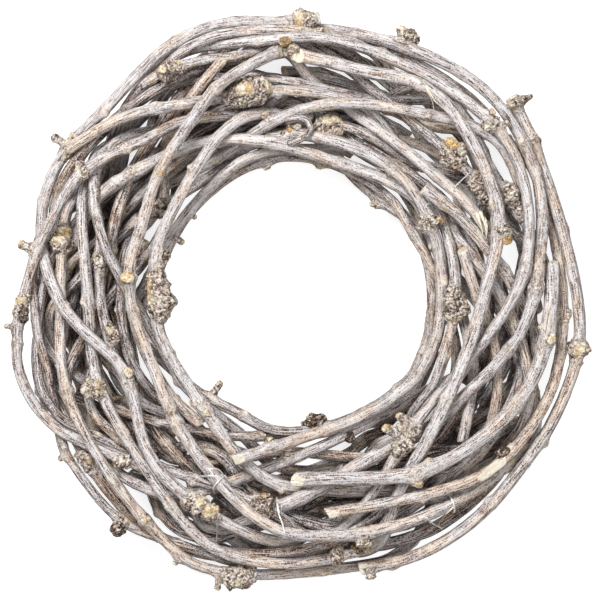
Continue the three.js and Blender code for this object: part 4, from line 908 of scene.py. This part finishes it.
# Knobs on the canes' sides: the pixel of the reference view, the radius, the share of bare wood, and how
# dull the crust is.
KNOBS = {
    "inner_rim_right": [((311, 415), 0.0044, 0.0, 0.75), ((303, 420), 0.0020, 0.2, 0.5),
                        ((320, 419), 0.0028, 0.0, 0.6)],
    "rim_top_right": [((410, 29), 0.0046, 0.1, 0.35), ((416, 35), 0.0030, 0.0, 0.4)],
    "left_upright_tan": [((354, 548), 0.0024, 1.0, 0.5), ((361, 549), 0.0027, 1.0, 0.4),
                         ((76, 395), 0.0042, 0.3, -0.1), ((80, 387), 0.0036, 0.4, -0.2)],
    "bottom_left_shelf": [((268, 492), 0.0028, 0.7, 0.4)],
    "inner_left_long": [((165, 256), 0.0034, 0.0, 0.8)],
    "top_to_right_long": [((285, 42), 0.0028, 0.7, 0.3)],
    "outer_left_low": [((119, 529), 0.0042, 0.0, 0.45), ((116, 537), 0.0034, 0.2, 0.5)],
    "outer_left_knotted": [((22, 316), 0.0040, 0.0, 0.35), ((24, 309), 0.0032, 0.0, 0.2)],
    "right_tan": [((502, 453), 0.0034, 0.0, 0.7)],
    "inner_right_long": [((284, 132), 0.0024, 1.0, 0.4), ((290, 130), 0.0027, 1.0, 0.3),
                         ((439, 222), 0.0027, 1.0, 0.3), ((431, 228), 0.0030, 0.6, -0.3)],
    "bottom_middle_slant": [((350, 437), 0.0032, 0.0, 1.0)],
    "deep_top_right": [((451, 145), 0.0034, 1.0, 0.3), ((458, 155), 0.0044, 0.8, -0.5),
                       ((461, 147), 0.0036, 0.4, -0.2), ((454, 163), 0.0028, 1.0, 0.3)],
    "deep_slant_left_high": [((78, 396), 0.0050, 0.3, 0.1), ((84, 390), 0.0042, 0.3, 0.0)],
    "front_left_long": [((289, 50), 0.0040, 0.2, 0.0)],
    "top_to_low_right": [((369, 549), 0.0028, 1.0, 0.4), ((509, 241), 0.0030, 1.0, 0.3),
                         ((506, 233), 0.0034, 0.9, -0.5), ((293, 49), 0.0034, 0.2, 0.1)],
}


STRIP_SPACING = 0.10
BURL_SEED = 11
STUB_SEED = 31
STRIP_SEED = 41
KNOB_SEED = 71
SEEDS_APART = 50


def dress_cane(name, tone, warmth, seed, parings, row_step):
    """Lays the whole skin of one cane over its solid."""
    cane = read_cane(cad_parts["cane_" + name])
    parts = [cane_part(cane, tone, warmth, seed, parings, row_step)]
    for own, (low, high) in enumerate(cane["burls"], seed + BURL_SEED):
        parts.append(burl_part(cane, low, high, tone, warmth, own))
    for own, (root, tip, thick, _) in enumerate(cane["stubs"], seed + STUB_SEED):
        parts.append(stub_part(root, tip, thick, tone, warmth, own))
    for own in range(int(cane["run"][-1] / STRIP_SPACING)):
        parts.append(strip_part(cane, tone, warmth, seed + STRIP_SEED + own))
    for own, (spot, size, straw, dull) in enumerate(KNOBS.get(name, ()), seed + KNOB_SEED):
        parts.append(knob_part(cane, spot, size, straw, dull, tone, warmth, own))
    piece = piece_from_parts("bark_" + name, parts, bark)
    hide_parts("cane_" + name)


def dress_canes(canes, first_seed, row_step=ROW_STEP, pared_spots=None):
    """Dresses canes one after another, each with random numbers of its own."""
    for index, (name, (tone, warmth)) in enumerate(canes.items()):
        parings = (pared_spots or {}).get(name, ())
        dress_cane(name, tone, warmth, first_seed + SEEDS_APART * index, parings, row_step)


dress_canes(BACK_CANES, 8000, SHADED_STEP)


# The deep canes, wound first. They lie in the shade inside the ring and show only through the gaps, and
# their bark is given a darker and browner tone than the canes over them: painted shade for the hollow of the
# ring, and also bark that the weather reached less.
DEEP_CANES = {
    "deep_slant_left_low": (0.30, 0.10), "deep_slant_left_high": (0.50, 0.05),
    "deep_left_upright": (0.38, 0.06), "deep_bottom_slant": (0.38, 0.05), "deep_bottom_red": (0.38, 0.22),
    "deep_right_slant": (0.50, 0.05), "deep_top_right": (0.47, 0.06), "deep_bottom_thick": (0.40, 0.04),
    "deep_low_crossing": (0.38, 0.10), "inner_rim_top": (0.55, 0.10), "deep_lower_rim": (0.42, 0.14),
    "deep_upper_rim": (0.36, 0.06), "deep_half_turn": (0.38, 0.10),
}
dress_canes(DEEP_CANES, 1000, SHADED_STEP)


# The middle canes, wound over the deep ones and under the last. They are vine with the bark on too.
# Most are grey, a few brown or ochre, and some carry burls.
MIDDLE_CANES = {
    "left_short_rise": (0.57, 0.14), "left_brown_rise": (0.48, 0.20), "outer_left_inside": (0.43, 0.02),
    "outer_left_low": (0.46, 0.06), "bottom_left_level": (0.46, 0.08), "bottom_left_shelf": (0.46, 0.06),
    "bottom_middle_slant": (0.54, 0.06), "left_grey_upright": (0.48, 0.00),
    "right_split_upright": (0.60, 0.04), "right_long_slant": (0.56, 0.12), "top_second_arch": (0.56, 0.00),
    "top_left_level": (0.50, 0.06), "top_gnarled_link": (0.42, 0.06), "inner_rim_right": (0.50, 0.10),
    "right_inner_burled": (0.56, 0.02), "right_ochre_cut": (0.60, 0.18),
    "top_right_inside": (0.54, 0.06), "left_grey_descent": (0.56, 0.02), "right_outer_slant": (0.58, 0.08),
    "bottom_broad_slant": (0.64, 0.06), "top_left_branch": (0.54, 0.30), "left_branch_ochre": (0.52, 0.14),
}
dress_canes(MIDDLE_CANES, 3000)


# The rim and front canes, wound last. The weather has bleached them to a pale grey, some with a pink
# or straw cast, and their pruned joints show cream and yellow wood.
FRONT_CANES = {
    "top_rim_inside": (0.58, 0.08), "right_tan": (0.57, 0.22), "top_arch_left": (0.64, 0.08),
    "inner_left_long": (0.64, 0.04), "inner_left_edge": (0.67, 0.04), "inner_top_front": (0.68, 0.08),
    "arch_top_front": (0.66, 0.08), "inner_right_long": (0.66, 0.06), "diagonal_white": (0.74, 0.00),
    "outer_left_knotted": (0.56, 0.06), "outer_left_long": (0.64, 0.00), "left_upright_tan": (0.58, 0.06),
    "left_front_long": (0.60, 0.10), "right_prominent": (0.64, 0.00), "rim_top_right": (0.60, 0.02),
    "rim_right_long": (0.60, 0.10), "top_to_right_long": (0.66, 0.04), "top_to_low_right": (0.62, 0.04),
    "front_left_long": (0.64, 0.08),
}
# Bare wood on them: where in the reference view, half its length along the cane, and its depth in radii.
PARED_SPOTS = {
    "right_tan": [((494, 473), 0.0115, 0.75), ((330, 513), 0.006, 0.5)],
    "diagonal_white": [((489, 229), 0.014, 1.5)],
    "right_prominent": [((296, 479), 0.006, 0.6)],
    "rim_right_long": [((366, 569), 0.006, 0.6)],
    "top_to_low_right": [((296, 55), 0.005, 0.6)],
    "front_left_long": [((284, 45), 0.006, 0.7)],
    "inner_right_long": [((235, 459), 0.006, 0.7)],
}
dress_canes(FRONT_CANES, 5000, pared_spots=PARED_SPOTS)


# The binding wires. Thin galvanised wire is passed round two canes and drawn tight, and the loop is
# dull from the weather with bright scratches.
DULL_STEEL = (0.62, 0.60, 0.59, 1)
BRIGHT_STEEL = (0.93, 0.92, 0.91, 1)
STEEL_PATCHES = 900.0
WIRE_SIDES = 5
WIRE_NODES = 14
WIRE_ROUND = 10
WIRE_STEPS = 112
WIRE_WAVES = 6
WIRE_RADIUS = 0.00052


def drawn_steel():
    """Weathered steel wire: patches of bright and dull metal."""
    material, tree, surface = blank_finish("drawn_steel_wire")
    place = wire_up(tree, "ShaderNodeTexCoord").outputs["Object"]
    inputs = {"Vector": place, "Scale": STEEL_PATCHES, "Detail": 3.0}
    bright = wire_up(tree, "ShaderNodeTexNoise", inputs).outputs["Fac"]
    colour = blend_colours(tree, step_up(tree, bright, 0.35, 0.65), DULL_STEEL, BRIGHT_STEEL)
    tree.links.new(colour, surface.inputs["Base Color"])
    tree.links.new(step_up(tree, bright, 0.9, 0.1), surface.inputs["Roughness"])
    surface.inputs["Metallic"].default_value = 0.6
    return material


steel = drawn_steel()


def wire_rings(node):
    """The middles of the solid loop's rings, in order round the loop.

    Formula: each ring's five corners lie closer together than the rings do, so the corners nearest to
    each are joined to it in groups of five; the groups are put in order of angle."""
    corner, _ = merged_corners(node)
    apart = np.linalg.norm(corner[:, None] - corner[None], axis=2)
    group = np.argsort(apart, axis=1)[:, :WIRE_SIDES]
    middles = corner[group].mean(1)
    middle = corner.mean(0)
    _, _, spread = np.linalg.svd(corner - middle, full_matrices=False)
    angle = np.arctan2((middles - middle) @ spread[1], (middles - middle) @ spread[0])
    return middles[np.argsort(angle)].reshape(WIRE_NODES, WIRE_SIDES, 3).mean(1)


def dress_wire(name):
    """A round wire along the loop.

    Formula: the ring middles joined by the closed curve of their first six waves, with a round section
    carried along it."""
    middles = wire_rings(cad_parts[name])
    waves = np.fft.rfft(middles, axis=0)
    waves[WIRE_WAVES + 1:] = 0
    grown = np.zeros((WIRE_STEPS // 2 + 1, 3), complex)
    grown[: len(waves)] = waves * (WIRE_STEPS / WIRE_NODES)
    line = np.fft.irfft(grown, WIRE_STEPS, axis=0)
    along = unit(np.roll(line, -1, 0) - np.roll(line, 1, 0))
    _, _, spread = np.linalg.svd(line - line.mean(0), full_matrices=False)
    side = unit(spread[2] - along * (along @ spread[2])[:, None])
    _, out = spokes(side, np.cross(side, along), WIRE_ROUND)
    points = line[:, None] + WIRE_RADIUS * out
    row = np.arange(WIRE_STEPS)
    corners = points.reshape(-1, 3)
    faces = outward(corners, wall_faces(row, (row + 1) % WIRE_STEPS, WIRE_ROUND))
    flat = np.zeros((len(corners), 3))
    part = {"corners": corners, "faces": faces, "grain": flat, "finish": flat, "crust": flat}
    piece = piece_from_parts("steel_" + name, [part], steel)
    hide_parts(name)


for name in ("tie_wire_1", "tie_wire_2", "tie_wire_3"):
    dress_wire(name)


# Loose bits. The free ends of the binding wire lie over the canes, a tendril hooks from one cane to
# another, and peeled fibres of bark and splinters of a torn cane end bridge small gaps.
STRAND_ROWS = 44
STRAND_ROUND = 8
STRAND_BLUR = 4.0
STRAND_REACH = 12
STRAND_LIFT = 0.0010
STRAND_SUNK = 0.0005
ABOVE_ALL = 0.2

# The pixels of the reference view that each strand passes through, and its radius. Those of bark and
# wood have also how much they taper, and their tone, warmth and share of bare wood.
WIRE_ENDS = {
    "wire_end_1": ([(201, 476), (212, 474), (222, 476), (229, 484), (243, 489)], 0.00058),
    "wire_end_2": ([(210, 468), (219, 467), (224, 475), (230, 484), (246, 478)], 0.00052),
    "wire_end_3": ([(277, 498), (278, 507), (279, 514), (283, 522), (285, 532)], 0.00056),
    "wire_end_4": ([(217, 522), (217, 532), (216, 542)], 0.00036),
    "wire_end_5": ([(425, 516), (434, 525), (443, 530)], 0.00042),
}
LOOSE_BARK = {
    "tendril_hook": ([(286, 121), (297, 117), (307, 120), (312, 127), (310, 135), (300, 141), (290, 144)],
                     0.0021, 0, (0.46, 0.0, 0.0)),
    "straw_fibre_1": ([(425, 86), (428, 94), (432, 101), (434, 111)], 0.00042, 0.4, (0.7, 0.2, 1.0)),
    "straw_fibre_2": ([(426, 87), (434, 102), (449, 114)], 0.00040, 0.4, (0.7, 0.2, 1.0)),
    "bark_fibre_1": ([(40, 408), (48, 405), (55, 401)], 0.00036, 0.2, (0.12, 0.1, 0.0)),
    "bark_fibre_2": ([(476, 466), (486, 460), (496, 454)], 0.00050, 0.2, (0.25, 0.0, 0.0)),
    "bark_fibre_3": ([(455, 187), (463, 179), (472, 171)], 0.00050, 0.2, (0.70, 0.0, 0.0)),
    "bark_curl": ([(455, 505), (447, 512), (441, 519), (438, 527), (443, 531)],
                  0.0007, 0.2, (0.55, 0.3, 0.3)),
    "splinter_1": ([(480, 212), (485, 225), (486, 238)], 0.0012, 1.0, (0.7, 0.1, 1.0)),
    "splinter_2": ([(477, 214), (481, 227), (483, 238)], 0.0011, 1.0, (0.7, 0.1, 1.0)),
    "splinter_3": ([(484, 218), (487, 228), (486, 239)], 0.0010, 1.0, (0.7, 0.1, 1.0)),
}


def solid_skins():
    """All the canes' solids as one tree of triangles that a plumb line can be dropped on."""
    corners, faces = [], []
    for node in solid_canes:
        faces.append(solid_faces(node) + sum(len(part) for part in corners))
        corners.append(solid_corners(node))
    return BVHTree.FromPolygons(np.concatenate(corners).tolist(), np.concatenate(faces).tolist())


skins = solid_skins()


def height_under(spots):
    """The height of the topmost cane at each spot, or 0 where there is none."""
    hits = [skins.ray_cast(Vector((x, y, ABOVE_ALL)), Vector((0, 0, -1)))[0] for x, y in spots]
    return np.array([hit.z if hit else 0.0 for hit in hits])


def lay_strand(name, pixels, thick, taper=0.0, finish=(0.0, 0.0, 0.0), material=bark):
    """A thin round strand laid over the canes.

    Formula: a smooth curve through the pixels of the reference view. Its height is that of a taut string
    over the canes: at each row the highest chord between two rows of the canes' own height. Its two ends
    are sunk in the canes under them."""
    knots = np.array([from_view(*pixel) for pixel in pixels])
    run = length_along(knots)
    length = run[-1]
    part = np.linspace(0, 1, STRAND_ROWS)
    spots = eased(columns_at(part * length, run, knots), STRAND_BLUR, STRAND_REACH)
    under = height_under(spots)
    first, here, last = np.ogrid[:STRAND_ROWS, :STRAND_ROWS, :STRAND_ROWS]
    chord = (under[first] * (last - here) + under[last] * (here - first)) / np.maximum(last - first, 1)
    taut = np.where((first <= here) & (here <= last) & (first < last), chord, 0).max((0, 2))
    height = taut + (STRAND_LIFT + thick) * np.sin(np.pi * part) ** 0.35 - STRAND_SUNK
    line = np.column_stack([spots, height])
    side, up, _ = cross_axes(line)
    turn, out = spokes(side, up, STRAND_ROUND)
    radius = thick * (1 - 0.9 * taper * part)[:, None] * (1 + 0.2 * np.cos(2 * turn + 5 * part[:, None]))
    points = line[:, None] + out * radius[:, :, None]
    grain = unrolled(radius, turn, (part * length)[:, None]) + length * 50
    tube = closed_tube(points, line[[0, -1]], grain, grain[[0, -1], 0], (*finish, 0.0, 0.8, 0.0))
    piece = piece_from_parts(name, [tube], material)


for name, (pixels, thick) in WIRE_ENDS.items():
    lay_strand(name, pixels, thick, material=steel)
for name, (pixels, thick, taper, finish) in LOOSE_BARK.items():
    lay_strand(name, pixels, thick, taper, finish)


# The studio: a plain white paper on a table, a white room, and soft light from above, a little stronger
# from the upper left. Paper and room shine more to the camera than on the wreath, so that they look
# white and the wreath's hollows stay dark.
PAPER_SIZE = 6.0
PAPER_DROP = 0.0003
PAPER_GREY = (0.40, 0.40, 0.40, 1)
PAPER_ROUGHNESS = 0.9
PAPER_SHINE, PAPER_SHINE_SEEN = 0.35, 0.45
ROOM_SHINE, ROOM_SHINE_SEEN = 0.27, 0.80
WHITE = (1, 1, 1, 1)
WREATH_MIDDLE = (0, 0, 0.03)
LAMPS = {"key_light": ((-0.70, 0.95, 1.7), 0.8, 59.0), "fill_light": ((0.7, -0.3, 1.7), 1.2, 16.0)}


def shine(tree, socket, on_all, on_camera):
    """How strongly a surface shines on everything, and how much more to the camera."""
    seen = wire_up(tree, "ShaderNodeLightPath").outputs["Is Camera Ray"]
    inputs = {0: seen, 1: on_camera, 2: on_all}
    tree.links.new(wire_up(tree, "ShaderNodeMath", inputs, operation="MULTIPLY_ADD").outputs[0], socket)


bpy.ops.mesh.primitive_plane_add(size=PAPER_SIZE, location=(0, 0, -PAPER_DROP))
table = bpy.context.object
table.name = "pale_table"
paper, paper_tree, sheet = blank_finish("white_paper")
sheet.inputs["Base Color"].default_value = PAPER_GREY
sheet.inputs["Roughness"].default_value = PAPER_ROUGHNESS
sheet.inputs["Emission Color"].default_value = WHITE
shine(paper_tree, sheet.inputs["Emission Strength"], PAPER_SHINE, PAPER_SHINE_SEEN)
table.data.materials.append(paper)

room = bpy.data.worlds.new("soft_room")
room.use_nodes = True
wall = room.node_tree.nodes["Background"]
wall.inputs["Color"].default_value = WHITE
shine(room.node_tree, wall.inputs["Strength"], ROOM_SHINE, ROOM_SHINE_SEEN)
bpy.context.scene.world = room

for name, (spot, size, power) in LAMPS.items():
    lamp = bpy.data.lights.new(name, "AREA")
    lamp.size = size
    lamp.energy = power
    light = bpy.data.objects.new(name, lamp)
    light.location = spot
    light.rotation_euler = Vector(WREATH_MIDDLE - np.array(spot)).to_track_quat("-Z", "Y").to_euler()
    bpy.context.scene.collection.objects.link(light)

bpy.context.scene.view_settings.view_transform = "Standard"
